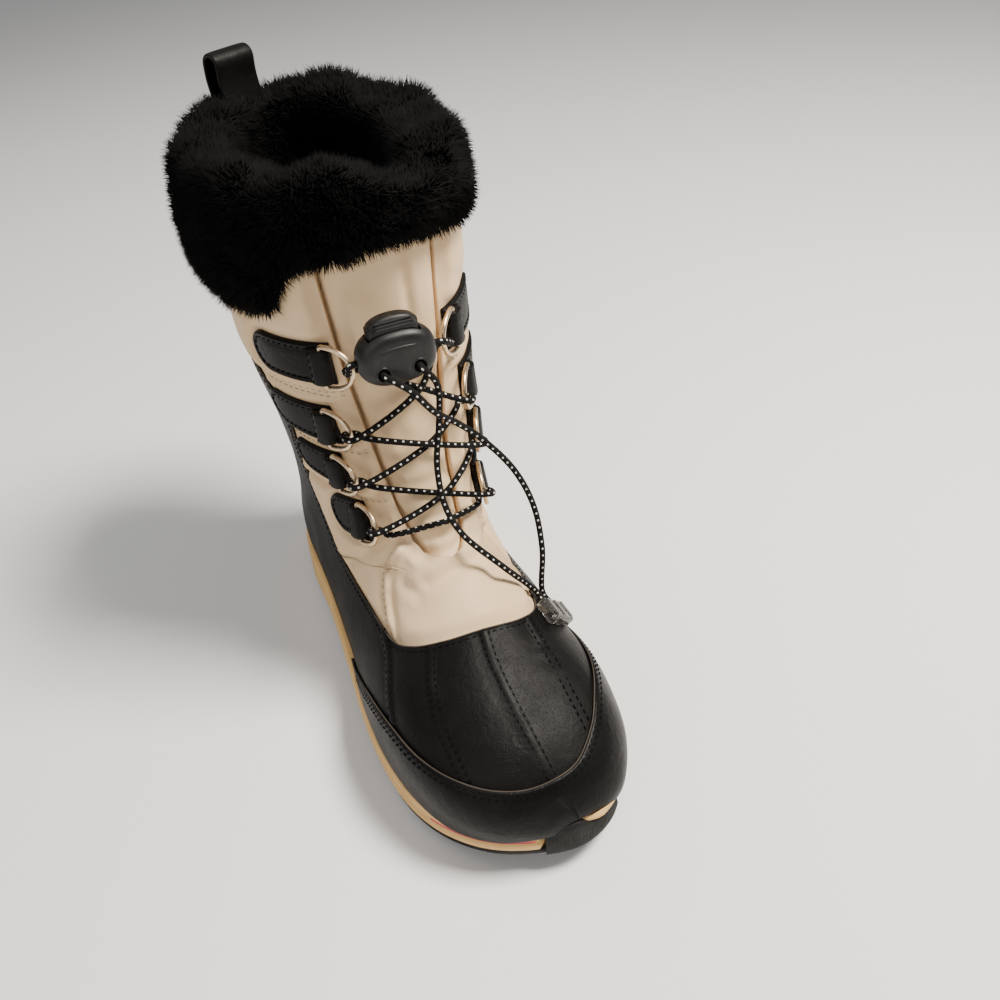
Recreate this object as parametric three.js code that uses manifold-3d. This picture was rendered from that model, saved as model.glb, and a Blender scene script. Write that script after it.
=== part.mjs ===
/*
 * Snow boot, the wearer's right boot, standing empty on its sole.
 * Millimetres. +Z up, the toe points to -Y, the wearer's outer side is -X.
 * The foot and shaft are one surface through a fan of sections: each section is a
 * rounded outline between a back point and a front point, and the fan turns from
 * level at the collar to upright at the toe. Every curved piece is worked out from it.
 */
import * as THREE from 'three';
import { mergeVertices } from 'three/addons/utils/BufferGeometryUtils.js';
import Module from 'manifold-3d';

const wasm = await Module();
wasm.setup();

// ---------------------------------------------------------------- driving sizes

const GAP = 0.35;
const ORIGIN = { x: -1.8, y: 5.7 };  // moves the whole boot so that its box is centred

const UPPER = { wall: 3, around: 24, perRow: 1.5, liningRoom: 0.4 };
const TONGUE = { flange: 2.6, overlap: 9, proud: 1.4, sideRoom: 0.5 };
const SOLE = {
  forefoot: 18, heel: 29,        // height of the midsole's top
  treadPlate: 6, lug: 2.6,
  toeSpring: 11, springFrom: -80, toeEnd: -146,
  heelBevel: 3, bevelFrom: 118, heelEnd: 140,
  archRise: 3.5, archFrom: -14, archTo: 56,
  flare: 1.6, samples: 56,
};
const INSOLE = { thick: 4, room: 0.5 };
const BUMPER = { from: -10, to: 29, back: -118, thick: 3.6, proud: 1, drop: 0.4 };
const TREAD = { pitch: 17, channel: 4, skew: 0.22, spine: 5 };

// Sections of the last, from the collar down the shaft and along the foot to the toe.
const LAST = [
  { backY: 116, backZ: 250, frontY: -2, frontZ: 244, half: 49, shift: 3, widest: 0.5, frontN: 2.1, backN: 2.1 },
  { backY: 116, backZ: 205, frontY: -2, frontZ: 203, half: 50, shift: 3, widest: 0.5, frontN: 2.1, backN: 2.1 },
  { backY: 114, backZ: 165, frontY: -4, frontZ: 164, half: 49, shift: 3, widest: 0.5, frontN: 2.1, backN: 2.1 },
  { backY: 112, backZ: 128, frontY: -10, frontZ: 131, half: 44.5, shift: 3.5, widest: 0.48, frontN: 2.1, backN: 2.1 },
  { backY: 116, backZ: 92, frontY: -20, frontZ: 109, half: 41, shift: 3, widest: 0.42, frontN: 2.1, backN: 2.2 },
  { backY: 122, backZ: 58, frontY: -30, frontZ: 97, half: 40, shift: 2, widest: 0.38, frontN: 2.2, backN: 2.4 },
  { backY: 123, backZ: 20, frontY: -41, frontZ: 89, half: 41, shift: 1, widest: 0.3, frontN: 2.2, backN: 3 },
  { backY: 72, backZ: 12, frontY: -53, frontZ: 82, half: 43, shift: 1, widest: 0.26, frontN: 2.1, backN: 4 },
  { backY: 15, backZ: 10, frontY: -67, frontZ: 76, half: 46, shift: 1, widest: 0.28, frontN: 2.1, backN: 4 },
  { backY: -35, backZ: 8, frontY: -83, frontZ: 70, half: 49.5, shift: -1, widest: 0.32, frontN: 2.2, backN: 4 },
  { backY: -78, backZ: 9, frontY: -100, frontZ: 63, half: 49, shift: -0.5, widest: 0.34, frontN: 2.3, backN: 4 },
  { backY: -111, backZ: 12, frontY: -119, frontZ: 55, half: 42, shift: 1, widest: 0.34, frontN: 2.3, backN: 3.6 },
  { backY: -131, backZ: 17, frontY: -133, frontZ: 45, half: 30, shift: 3.5, widest: 0.36, frontN: 2.2, backN: 3.2 },
  { backY: -140, backZ: 22, frontY: -140, frontZ: 35, half: 16, shift: 6, widest: 0.4, frontN: 2.1, backN: 2.4 },
  { backY: -142, backZ: 27, frontY: -142, frontZ: 29, half: 0.5, shift: 6, widest: 0.4, frontN: 2, backN: 2 },
];
const ROW_DROP = 44;             // millimetres of shaft between the upper rows

// The sole's outline: how far it reaches to each side along the foot.
const OUTLINE = [
  { y: 130, lateral: 1, medial: 1 },
  { y: 126, lateral: -16, medial: 18 },
  { y: 115, lateral: -29, medial: 31 },
  { y: 98, lateral: -38, medial: 40 },
  { y: 72, lateral: -43, medial: 45 },
  { y: 40, lateral: -44, medial: 45 },
  { y: 5, lateral: -47, medial: 47 },
  { y: -35, lateral: -51.5, medial: 49 },
  { y: -65, lateral: -52.5, medial: 50 },
  { y: -92, lateral: -49, medial: 46.5 },
  { y: -112, lateral: -41, medial: 41 },
  { y: -129, lateral: -27.5, medial: 32 },
  { y: -140, lateral: -10, medial: 21 },
  { y: -144.5, lateral: 6, medial: 6 },
];

// The throat, seen from the front: the edges of the two quarters over the tongue.
const THROAT = [
  { z: 275, lateral: -24, medial: 32 },
  { z: 212, lateral: -21, medial: 29 },
  { z: 176, lateral: -19, medial: 26 },
  { z: 140, lateral: -15, medial: 21 },
  { z: 112, lateral: -12, medial: 18 },
  { z: 99, lateral: -10, medial: 15 },
  { z: 93, lateral: -4, medial: 9 },
];

// The fur collar around the top edge, by turn in degrees: how far it stands out,
// how far it rises over the upper's edge and how far it hangs down outside and inside.
const CUFF = [
  { turn: -180, out: 16, rise: 13, hang: 40, lining: 40 },
  { turn: -150, out: 17, rise: 15, hang: 40, lining: 40 },
  { turn: -115, out: 17, rise: 11, hang: 42, lining: 40 },
  { turn: -85, out: 16.5, rise: 12, hang: 46, lining: 40 },
  { turn: -60, out: 17, rise: 14, hang: 47, lining: 36 },
  { turn: -36, out: 17, rise: 11, hang: 34, lining: 30 },
  { turn: -10, out: 18, rise: 13, hang: 29, lining: 30 },
  { turn: 18, out: 19, rise: 14, hang: 30, lining: 30 },
  { turn: 45, out: 16, rise: 12, hang: 31, lining: 34 },
  { turn: 80, out: 14, rise: 15, hang: 34, lining: 40 },
  { turn: 115, out: 15.5, rise: 12, hang: 37, lining: 40 },
  { turn: 150, out: 16, rise: 14, hang: 39, lining: 40 },
];
const FUR = { sections: 32, inside: 8, seatOut: 2, seatIn: 6.6, seatLift: 0.7 };

const LOOP = { turn: -158, width: 20, strap: 2, gap: 6.5, top: 17, sunk: 10, out: -1, room: 0.4 };

// The lacing's four rows: where each tab's front end sits on the last, in degrees of turn.
const LACING = [
  { u: 1.6, turn: 28, tab: 42, half: 9.5 },
  { u: 2.42, turn: 36, tab: 40, half: 9.5 },
  { u: 3.2, turn: 41, tab: 34, half: 9 },
  { u: 4.35, turn: 38, tab: 27, half: 10 },
];
const TAB = { low: 0.45, thick: 2, sections: 5, fold: 10, foldTop: 6.3, foldHalf: 8, eye: 1.9 };
const RING = { wire: 1.1, half: 9.6, bow: 14, bar: 4.1, tilt: 9, sides: 6, bowSteps: 9 };
const CORD = { radius: 1.4, sides: 8 };
const LACE = { reach: 18, bow: 13.8, hole: 10.4, over: 3.4, spread: 1.5, crossLow: 5.8, crossHigh: 8, perSpan: 2 };

// The cord lock hangs between the two top rings.
const LOCK = {
  u: 1.4, turn: -3, out: 15, width: 33, height: 24, depth: 13,
  holeX: 7.5, holeDown: 4.5, holeRadius: 2.5, holeDepth: 3.5, sideRadius: 2.3,
  slotWidth: 17, slotDepth: 8, slotFloor: 1, buttonRise: 5.5, room: 0.35,
};

// The free cord ends, from the lock's front to the clip.
const ROUTES = {
  left: [
    [-1.5, -31, 178], [7, -31.5, 165], [17.5, -30, 154], [26, -31, 144], [38, -35, 125], [44, -40, 105],
    [43, -48, 86],
  ],
  right: [[11, -27, 175], [11, -24, 156], [6, -27, 135], [5, -33, 117], [8, -41, 106], [22, -51, 87]],
};
const CLIP = { u: 8.65, turn: 48, out: 4, long: 17, wide: 12, thick: 6, spin: 20, cordX: 3.2 };

// ---------------------------------------------------------------- solids

// Six times the volume inside the triangles; it is negative where they are inside out.
function volumeOf(position, index) {
  const corner = (k) => new THREE.Vector3().fromBufferAttribute(position, index[k]);
  let volume = 0;
  for (let t = 0; t < index.length; t += 3) volume += corner(t).dot(corner(t + 1).cross(corner(t + 2)));
  return volume;
}

function solidOf(geometry) {
  const bare = geometry.index ? geometry.clone() : geometry;
  bare.deleteAttribute('normal');
  bare.deleteAttribute('uv');
  const merged = mergeVertices(bare, 1e-4);
  const index = Array.from(merged.index.array);
  if (volumeOf(merged.attributes.position, index) < 0) index.reverse();
  return new wasm.Manifold(new wasm.Mesh({
    numProp: 3,
    vertProperties: new Float32Array(merged.attributes.position.array),
    triVerts: new Uint32Array(index),
  }));
}

function geometryOf(solid) {
  const mesh = solid.getMesh();
  const geometry = new THREE.BufferGeometry();
  geometry.setAttribute('position', new THREE.BufferAttribute(new Float32Array(mesh.vertProperties), 3));
  geometry.setIndex(new THREE.BufferAttribute(new Uint32Array(mesh.triVerts), 1));
  return geometry;
}

// A closed geometry through rings of points; a closed loft joins its last ring to its first.
function loft(rings, closed = false) {
  const n = rings[0].length;
  const points = rings.flat();
  const index = [];
  const bands = closed ? rings.length : rings.length - 1;
  for (let i = 0; i < bands; i += 1) {
    const next = (i + 1) % rings.length;
    for (let j = 0; j < n; j += 1) {
      const k = (j + 1) % n;
      index.push(i * n + j, i * n + k, next * n + k);
      index.push(i * n + j, next * n + k, next * n + j);
    }
  }
  if (!closed) {
    for (const [start, forward] of [[0, false], [(rings.length - 1) * n, true]]) {
      const centre = new THREE.Vector3();
      points.slice(start, start + n).forEach((p) => centre.add(p));
      const hub = points.push(centre.divideScalar(n)) - 1;
      for (let j = 0; j < n; j += 1) {
        const a = start + j;
        const b = start + ((j + 1) % n);
        index.push(hub, forward ? a : b, forward ? b : a);
      }
    }
  }
  const geometry = new THREE.BufferGeometry().setFromPoints(points);
  geometry.setIndex(index);
  return geometry;
}

// A shape drawn in a frame's first two axes and extruded along its third.
function prism(shape, depth, frame, curveSegments = 5) {
  const geometry = new THREE.ExtrudeGeometry(shape, { depth, bevelEnabled: false, curveSegments });
  geometry.translate(0, 0, -depth / 2);
  geometry.applyMatrix4(frame);
  return geometry;
}

function frameOf(origin, x, y, z) {
  return new THREE.Matrix4().makeBasis(x, y, z).setPosition(origin);
}

function boxAt(x, y, z, sx, sy, sz, turn = 0) {
  const box = new THREE.BoxGeometry(sx, sy, sz);
  box.rotateZ(turn);
  box.translate(x, y, z);
  return solidOf(box);
}

const smooth = (from, to, value) => THREE.MathUtils.smoothstep(value, from, to);

// ---------------------------------------------------------------- the last's surface

function catmullRom(a, b, c, d, t) {
  const linear = (c - a) * t;
  const square = (2 * a - 5 * b + 4 * c - d) * t * t;
  const cube = (3 * b - a - 3 * c + d) * t * t * t;
  return 0.5 * (2 * b + linear + square + cube);
}

function sectionAt(u) {
  const last = LAST.length - 1;
  const i = Math.min(Math.max(Math.floor(u), 0), last - 1);
  const rows = [Math.max(i - 1, 0), i, i + 1, Math.min(i + 2, last)].map((k) => LAST[k]);
  const section = {};
  for (const key of Object.keys(LAST[0])) {
    section[key] = catmullRom(...rows.map((row) => row[key]), u - i);
  }
  return section;
}

// u runs from the collar (0) to the toe; turn is 0 at the front or top, PI at the back or bottom.
function lastPoint(u, turn) {
  const s = sectionAt(THREE.MathUtils.clamp(u, 0, LAST.length - 1));
  const cos = Math.cos(turn);
  const sin = Math.sin(turn);
  const power = 2 / (cos > 0 ? s.frontN : s.backN);
  const reach = Math.abs(cos) ** power;
  const t = cos > 0 ? s.widest + (1 - s.widest) * reach : s.widest - s.widest * reach;
  return new THREE.Vector3(
    s.shift + s.half * Math.sign(sin) * Math.abs(sin) ** power,
    s.backY + (s.frontY - s.backY) * t,
    s.backZ + (s.frontZ - s.backZ) * t,
  );
}

function lastFrame(u, turn) {
  const step = 0.01;
  const limit = LAST.length - 1;
  const high = Math.min(u + step, limit);
  const low = Math.max(u - step, 0);
  const down = lastPoint(high, turn).sub(lastPoint(low, turn)).divideScalar(high - low);
  const around = lastPoint(u, turn + step).sub(lastPoint(u, turn - step)).divideScalar(2 * step);
  const out = around.clone().cross(down).normalize();
  const point = lastPoint(u, turn);
  const s = sectionAt(u);
  const middle = new THREE.Vector3(s.shift, (s.backY + s.frontY) / 2, (s.backZ + s.frontZ) / 2);
  if (out.dot(point.clone().sub(middle)) < 0) out.negate();
  return { point, down, around, out };
}

// A point on the last, moved out by some millimetres.
function onLast(u, turn, out) {
  const frame = lastFrame(u, turn);
  return frame.point.addScaledVector(frame.out, out);
}

function ringOnLast(u, out) {
  const ring = [];
  for (let j = 0; j < UPPER.around; j += 1) {
    ring.push(onLast(u, (j / UPPER.around) * 2 * Math.PI, out));
  }
  return ring;
}

// The filled last, moved out by some millimetres and lifted through the collar if asked.
function lastSolid(out, lift = 0) {
  const rings = [];
  if (lift > 0) rings.push(ringOnLast(0, out).map((p) => p.setZ(p.z + lift)));
  const steps = Math.round((LAST.length - 1) * UPPER.perRow);
  for (let i = 0; i < steps; i += 1) rings.push(ringOnLast(i / UPPER.perRow, out));
  rings.push(ringOnLast(LAST.length - 1.04, out));
  return solidOf(loft(rings));
}

// ---------------------------------------------------------------- the sole's levels

function spring(y) {
  const ahead = (SOLE.springFrom - y) / (SOLE.springFrom - SOLE.toeEnd);
  return ahead > 0 ? SOLE.toeSpring * ahead ** 1.7 : 0;
}

function groundLevel(y) {
  const behind = (y - SOLE.bevelFrom) / (SOLE.heelEnd - SOLE.bevelFrom);
  const bevel = behind > 0 ? SOLE.heelBevel * behind ** 2 : 0;
  const along = (y - SOLE.archFrom) / (SOLE.archTo - SOLE.archFrom);
  const arch = along > 0 && along < 1 ? SOLE.archRise * Math.sin(Math.PI * along) ** 2 : 0;
  return spring(y) + bevel + arch;
}

const plateTop = (y) => groundLevel(y) + SOLE.treadPlate;
const soleTop = (y) => SOLE.forefoot + (SOLE.heel - SOLE.forefoot) * smooth(-30, 45, y) + spring(y);

// A wide slab between two levels that change along the foot.
function slab(low, high) {
  const shape = new THREE.Shape();
  const steps = 32;
  const yAt = (i) => SOLE.toeEnd - 14 + (i / steps) * (SOLE.heelEnd - SOLE.toeEnd + 24);
  shape.moveTo(yAt(0), low(yAt(0)));
  for (let i = 1; i <= steps; i += 1) shape.lineTo(yAt(i), low(yAt(i)));
  for (let i = steps; i >= 0; i -= 1) shape.lineTo(yAt(i), high(yAt(i)));
  const frame = frameOf(
    new THREE.Vector3(),
    new THREE.Vector3(0, 1, 0),
    new THREE.Vector3(0, 0, 1),
    new THREE.Vector3(1, 0, 0),
  );
  return solidOf(prism(shape, 200, frame));
}

const outlineCurve = new THREE.CatmullRomCurve3([
  ...OUTLINE.map((row) => new THREE.Vector3(row.lateral, row.y, 0)),
  ...OUTLINE.slice(1, -1).reverse().map((row) => new THREE.Vector3(row.medial, row.y, 0)),
], true, 'centripetal');

function outlineRing(out, z) {
  const ring = [];
  for (let i = 0; i < SOLE.samples; i += 1) {
    const point = outlineCurve.getPointAt(i / SOLE.samples);
    const along = outlineCurve.getTangentAt(i / SOLE.samples);
    ring.push(new THREE.Vector3(point.x + along.y * -out, point.y + along.x * out, z));
  }
  return ring;
}

const outlineBlock = (bottomOut, topOut) => solidOf(loft([outlineRing(bottomOut, -4), outlineRing(topOut, 44)]));

// ---------------------------------------------------------------- sole pieces

function bumperRoom(room) {
  const width = BUMPER.to - BUMPER.from + 2 * room;
  const middle = (BUMPER.from + BUMPER.to) / 2;
  return boxAt(middle, BUMPER.back - 30 + room, 20, width, 60, 60);
}

function makeMidsole() {
  const whole = outlineBlock(SOLE.flare, 0).intersect(slab((y) => plateTop(y) + GAP, soleTop));
  const core = outlineBlock(-BUMPER.thick - GAP, -BUMPER.thick - GAP);
  return whole.subtract(bumperRoom(GAP).subtract(core));
}

function makeOutsole() {
  const plate = outlineBlock(SOLE.flare - 0.6, SOLE.flare - 0.6).intersect(slab(groundLevel, plateTop));
  const wrap = outlineBlock(SOLE.flare + BUMPER.proud, BUMPER.proud)
    .intersect(bumperRoom(0))
    .intersect(slab((y) => groundLevel(y) + SOLE.lug, (y) => soleTop(y) - BUMPER.drop))
    .subtract(outlineBlock(-BUMPER.thick, -BUMPER.thick).intersect(slab(plateTop, (y) => plateTop(y) + 40)));
  const channels = [boxAt(1, -5, 0, TREAD.spine, 240, 20)];
  for (let y = -128; y < 122; y += TREAD.pitch) {
    channels.push(boxAt(-34, y, 0, 72, TREAD.channel, 20, TREAD.skew));
    channels.push(boxAt(36, y, 0, 72, TREAD.channel, 20, -TREAD.skew));
  }
  const cut = wasm.Manifold.union(channels).intersect(slab((y) => groundLevel(y) - 6, (y) => groundLevel(y) + SOLE.lug));
  return plate.subtract(cut).add(wrap);
}

function makeInsole() {
  const room = UPPER.wall + INSOLE.room;
  return lastSolid(-room).intersect(slab((y) => soleTop(y) + GAP, (y) => soleTop(y) + GAP + INSOLE.thick));
}

// ---------------------------------------------------------------- upper and tongue

// The throat's outline, grown by some millimetres, as a prism through the front of the shaft.
function throatPrism(grow) {
  const shape = new THREE.Shape();
  const lowest = THROAT[THROAT.length - 1].z;
  const sink = (row) => row.z - (row.z < lowest + 8 ? grow : 0);
  shape.moveTo(THROAT[0].lateral - grow, THROAT[0].z);
  THROAT.slice(1).forEach((row) => shape.lineTo(row.lateral - grow, sink(row)));
  [...THROAT].reverse().forEach((row) => shape.lineTo(row.medial + grow, sink(row)));
  const frame = frameOf(
    new THREE.Vector3(0, -20, 0),
    new THREE.Vector3(1, 0, 0),
    new THREE.Vector3(0, 0, 1),
    new THREE.Vector3(0, -1, 0),
  );
  return solidOf(prism(shape, 120, frame));
}

function makeUpper() {
  const below = slab((y) => soleTop(y) - 60, (y) => soleTop(y) + GAP);
  return lastSolid(0).subtract(lastSolid(-UPPER.wall, 12)).subtract(below).subtract(throatPrism(0));
}

function makeTongue() {
  const back = -UPPER.wall - UPPER.liningRoom;
  const flange = lastSolid(back).subtract(lastSolid(back - TONGUE.flange, 12));
  const body = lastSolid(TONGUE.proud).subtract(lastSolid(back - 0.5, 12));
  return flange.intersect(throatPrism(TONGUE.overlap)).add(body.intersect(throatPrism(-TONGUE.sideRoom)));
}

// ---------------------------------------------------------------- places on the last

// Walks over the last from a point: some millimetres towards the front, then some down.
function walk(u, turn, ahead, down) {
  const steps = 8;
  const towards = turn > 0 ? -1 : 1;
  let place = { u, turn };
  for (let i = 0; i < steps; i += 1) {
    const frame = lastFrame(place.u, place.turn);
    place = { u: place.u, turn: place.turn + (towards * ahead) / steps / frame.around.length() };
  }
  for (let i = 0; i < steps; i += 1) {
    const frame = lastFrame(place.u, place.turn);
    place = { u: place.u + down / steps / frame.down.length(), turn: place.turn };
  }
  return place;
}

// Axes at a place on the last: x towards the front, y up the shaft, z out.
function frameAt(u, turn, out, side) {
  const frame = lastFrame(u, turn);
  const ahead = frame.around.clone().multiplyScalar(-side).normalize();
  const up = frame.out.clone().cross(ahead).normalize();
  const rise = up.z < 0 ? up.negate() : up;
  return frameOf(frame.point.clone().addScaledVector(frame.out, out), ahead, rise, frame.out);
}

const inFrame = (frame, x, y, z) => new THREE.Vector3(x, y, z).applyMatrix4(frame);

// ---------------------------------------------------------------- collar

function cuffRow(turn) {
  const n = CUFF.length;
  const degrees = THREE.MathUtils.euclideanModulo(THREE.MathUtils.radToDeg(turn) + 180, 360) - 180;
  let i = CUFF.findLastIndex((row) => row.turn <= degrees);
  if (i < 0) i = n - 1;
  const span = (CUFF[(i + 1) % n].turn - CUFF[i].turn + 360) % 360;
  const t = (degrees - CUFF[i].turn) / span;
  const rows = [i - 1, i, i + 1, i + 2].map((k) => CUFF[(k + n) % n]);
  const row = {};
  for (const key of Object.keys(CUFF[0])) row[key] = catmullRom(...rows.map((r) => r[key]), t);
  return row;
}

// A point of the collar: out from the last, and down from the upper's edge or up over it.
function collarPoint(turn, out, drop) {
  const point = onLast(Math.max(drop, 0) / ROW_DROP, turn, out);
  if (drop < 0) point.z -= drop;
  return point;
}

function makeCuff(loopRoom) {
  const rings = [];
  for (let i = 0; i < FUR.sections; i += 1) {
    const turn = (i / FUR.sections) * 2 * Math.PI;
    const { out, rise, hang, lining } = cuffRow(turn);
    const inner = -FUR.seatIn;
    const deep = inner - FUR.inside;
    rings.push([
      [FUR.seatOut, hang - 2], [out * 0.55, hang], [out * 0.92, hang - 8], [out, hang * 0.55],
      [out * 0.92, hang * 0.15], [out * 0.6, -rise * 0.75], [0, -rise], [deep * 0.7, -rise * 0.7],
      [deep, 4], [deep, lining - 6], [inner, lining],
      [inner, -FUR.seatLift], [FUR.seatOut, -FUR.seatLift],
    ].map(([x, drop]) => collarPoint(turn, x, drop)));
  }
  return solidOf(loft(rings, true)).subtract(loopRoom);
}

// The pull loop's outline, a tall loop seen from the side; a room grows it all around.
function loopOutline(room) {
  const radius = LOOP.gap / 2 + LOOP.strap + room;
  const shape = new THREE.Shape();
  const low = -LOOP.sunk + radius - room;
  const high = LOOP.top - radius + room;
  shape.absarc(0, high, radius, 0, Math.PI);
  shape.absarc(0, low, radius, Math.PI, 2 * Math.PI);
  return shape;
}

function loopFrame() {
  const turn = THREE.MathUtils.degToRad(LOOP.turn);
  const frame = lastFrame(0, turn);
  const out = frame.out.clone().setZ(0).normalize();
  const up = new THREE.Vector3(0, 0, 1);
  const base = onLast(0, turn, LOOP.out).addScaledVector(up, LOOP.sunk + 1.5);
  return frameOf(base, out, up, out.clone().cross(up));
}

function makeLoop() {
  const shape = loopOutline(0);
  shape.holes.push(loopOutline(-LOOP.strap));
  return solidOf(prism(shape, LOOP.width, loopFrame()));
}

const loopRoom = () => solidOf(prism(loopOutline(LOOP.room), LOOP.width + 2 * LOOP.room, loopFrame()));

// ---------------------------------------------------------------- tabs and rings

function tabBand(row, side) {
  const turn = side * THREE.MathUtils.degToRad(row.turn);
  const rings = [];
  for (let i = 0; i <= TAB.sections; i += 1) {
    const ahead = -row.tab + (i / TAB.sections) ** 1.6 * (row.tab - 0.4) + 0.4;
    const inRound = Math.max(row.half - (ahead + row.tab), 0);
    const half = Math.sqrt(row.half ** 2 - inRound ** 2);
    const at = (down, out) => {
      const place = walk(row.u, turn, ahead, down);
      return onLast(place.u, place.turn, out);
    };
    const high = TAB.low + TAB.thick;
    rings.push([
      at(-half, TAB.low), at(0, TAB.low), at(half, TAB.low), at(half, high), at(0, high), at(-half, high),
    ]);
  }
  return solidOf(loft(rings));
}

// The fold's frame, with its middle on the tab's front end.
function foldFrame(row, side) {
  const turn = side * THREE.MathUtils.degToRad(row.turn);
  const place = walk(row.u, turn, -TAB.fold / 2, 0);
  return frameAt(place.u, place.turn, 0, side);
}

function makeTab(row, side) {
  const base = TAB.low + TAB.thick - 0.8;
  const reach = TAB.fold / 2;
  const shape = new THREE.Shape([
    new THREE.Vector2(-reach, base),
    new THREE.Vector2(reach, base),
    new THREE.Vector2(reach, TAB.foldTop - 1.6),
    new THREE.Vector2(reach - 1.6, TAB.foldTop),
    new THREE.Vector2(-reach + 2.4, TAB.foldTop),
  ]);
  shape.holes.push(new THREE.Path().absarc(reach - 3.4, RING.bar, TAB.eye, 0, 2 * Math.PI));
  const frame = foldFrame(row, side);
  const upright = frame.clone().multiply(new THREE.Matrix4().makeRotationX(Math.PI / 2));
  return tabBand(row, side).add(solidOf(prism(shape, 2 * TAB.foldHalf, upright, 3)));
}

// The ring's own frame: x from its straight bar to its bow, z out of its plane.
function ringFrame(row, side) {
  const shift = new THREE.Matrix4().makeTranslation(TAB.fold / 2 - 3.4, 0, RING.bar);
  const tilt = new THREE.Matrix4().makeRotationY(THREE.MathUtils.degToRad(-RING.tilt));
  return foldFrame(row, side).multiply(shift).multiply(tilt);
}

function makeRing(row, side) {
  const centres = [];
  for (let i = 0; i <= RING.bowSteps; i += 1) {
    const angle = (i / RING.bowSteps - 0.5) * Math.PI;
    centres.push(new THREE.Vector3(RING.bow * Math.cos(angle) ** 0.8, RING.half * Math.sin(angle), 0));
  }
  centres.push(new THREE.Vector3(0, 0, 0));
  const flat = new THREE.Vector3(0, 0, 1);
  const n = centres.length;
  const frame = ringFrame(row, side);
  const rings = centres.map((centre, i) => {
    const along = centres[(i + 1) % n].clone().sub(centres[(i + n - 1) % n]).normalize();
    const across = flat.clone().cross(along);
    const ring = [];
    for (let j = 0; j < RING.sides; j += 1) {
      const angle = (j / RING.sides) * 2 * Math.PI;
      ring.push(centre.clone()
        .addScaledVector(across, RING.wire * Math.cos(angle))
        .addScaledVector(flat, RING.wire * Math.sin(angle))
        .applyMatrix4(frame));
    }
    return ring;
  });
  return solidOf(loft(rings, true));
}

// ---------------------------------------------------------------- cord lock

const lockTurn = THREE.MathUtils.degToRad(LOCK.turn);
const lockFrame = frameAt(LOCK.u, lockTurn, LOCK.out, -1);

function makeLockBody() {
  const rings = [];
  for (const [size, z] of [[0.72, -0.5], [0.93, -0.34], [1, 0], [0.95, 0.34], [0.76, 0.5]]) {
    const ring = [];
    for (let i = 0; i < 20; i += 1) {
      const angle = (i / 20) * 2 * Math.PI;
      const x = (Math.sign(Math.cos(angle)) * Math.abs(Math.cos(angle)) ** 0.8 * LOCK.width) / 2;
      const y = (Math.sign(Math.sin(angle)) * Math.abs(Math.sin(angle)) ** 0.8 * LOCK.height) / 2;
      ring.push(inFrame(lockFrame, x * size, y * size, z * LOCK.depth));
    }
    rings.push(ring);
  }
  let body = solidOf(loft(rings));
  const front = LOCK.depth / 2;
  for (const side of [-1, 1]) {
    const hole = new THREE.CylinderGeometry(LOCK.holeRadius, LOCK.holeRadius, 2 * LOCK.holeDepth, 10);
    hole.rotateX(Math.PI / 2);
    hole.translate(side * LOCK.holeX, -LOCK.holeDown, front);
    const entry = new THREE.CylinderGeometry(LOCK.sideRadius, LOCK.sideRadius, 8, 10);
    entry.rotateZ(Math.PI / 2);
    entry.translate((side * LOCK.width) / 2, 0, 0);
    body = body.subtract(solidOf(hole.applyMatrix4(lockFrame))).subtract(solidOf(entry.applyMatrix4(lockFrame)));
  }
  const slotTop = LOCK.height / 2 + 4;
  const slot = new THREE.BoxGeometry(LOCK.slotWidth, slotTop - LOCK.slotFloor, LOCK.slotDepth);
  slot.translate(0, (slotTop + LOCK.slotFloor) / 2, 0);
  return body.subtract(solidOf(slot.applyMatrix4(lockFrame)));
}

function makeLockButton() {
  const width = LOCK.slotWidth / 2 - LOCK.room;
  const top = LOCK.height / 2 + LOCK.buttonRise;
  const low = LOCK.slotFloor + 5;
  const shape = new THREE.Shape();
  shape.moveTo(-width, low);
  shape.lineTo(width, low);
  shape.lineTo(width, top - 3);
  shape.quadraticCurveTo(width - 1, top, 0, top);
  shape.quadraticCurveTo(-width + 1, top, -width, top - 3);
  return solidOf(prism(shape, LOCK.slotDepth - 2 * LOCK.room, lockFrame));
}

// ---------------------------------------------------------------- cord

function tube(points, perSpan) {
  const path = new THREE.CatmullRomCurve3(points, false, 'centripetal');
  const steps = (points.length - 1) * perSpan;
  const normal = new THREE.Vector3(0, 0.3, 1);
  const rings = [];
  for (let i = 0; i <= steps; i += 1) {
    const along = path.getTangent(i / steps);
    const centre = path.getPoint(i / steps);
    normal.addScaledVector(along, -normal.dot(along)).normalize();
    const across = along.clone().cross(normal);
    const ring = [];
    for (let j = 0; j < CORD.sides; j += 1) {
      const angle = (j / CORD.sides) * 2 * Math.PI;
      ring.push(centre.clone()
        .addScaledVector(normal, CORD.radius * Math.cos(angle))
        .addScaledVector(across, CORD.radius * Math.sin(angle)));
    }
    rings.push(ring);
  }
  return solidOf(loft(rings));
}

// The cord through one ring: over the bow, down the hole and out under the bow.
function throughRing(row, side) {
  const frame = ringFrame(row, side);
  return [
    inFrame(frame, LACE.reach, LACE.spread, LACE.over),
    inFrame(frame, LACE.bow, LACE.spread / 2, LACE.over),
    inFrame(frame, LACE.hole, 0, 0),
    inFrame(frame, LACE.bow, -LACE.spread / 2, -LACE.over),
    inFrame(frame, LACE.reach, -LACE.spread, -LACE.over),
  ];
}

function crossing(upper, lower, out) {
  const u = (LACING[upper].u + LACING[lower].u) / 2;
  return onLast(u, THREE.MathUtils.degToRad(5), out);
}

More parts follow.
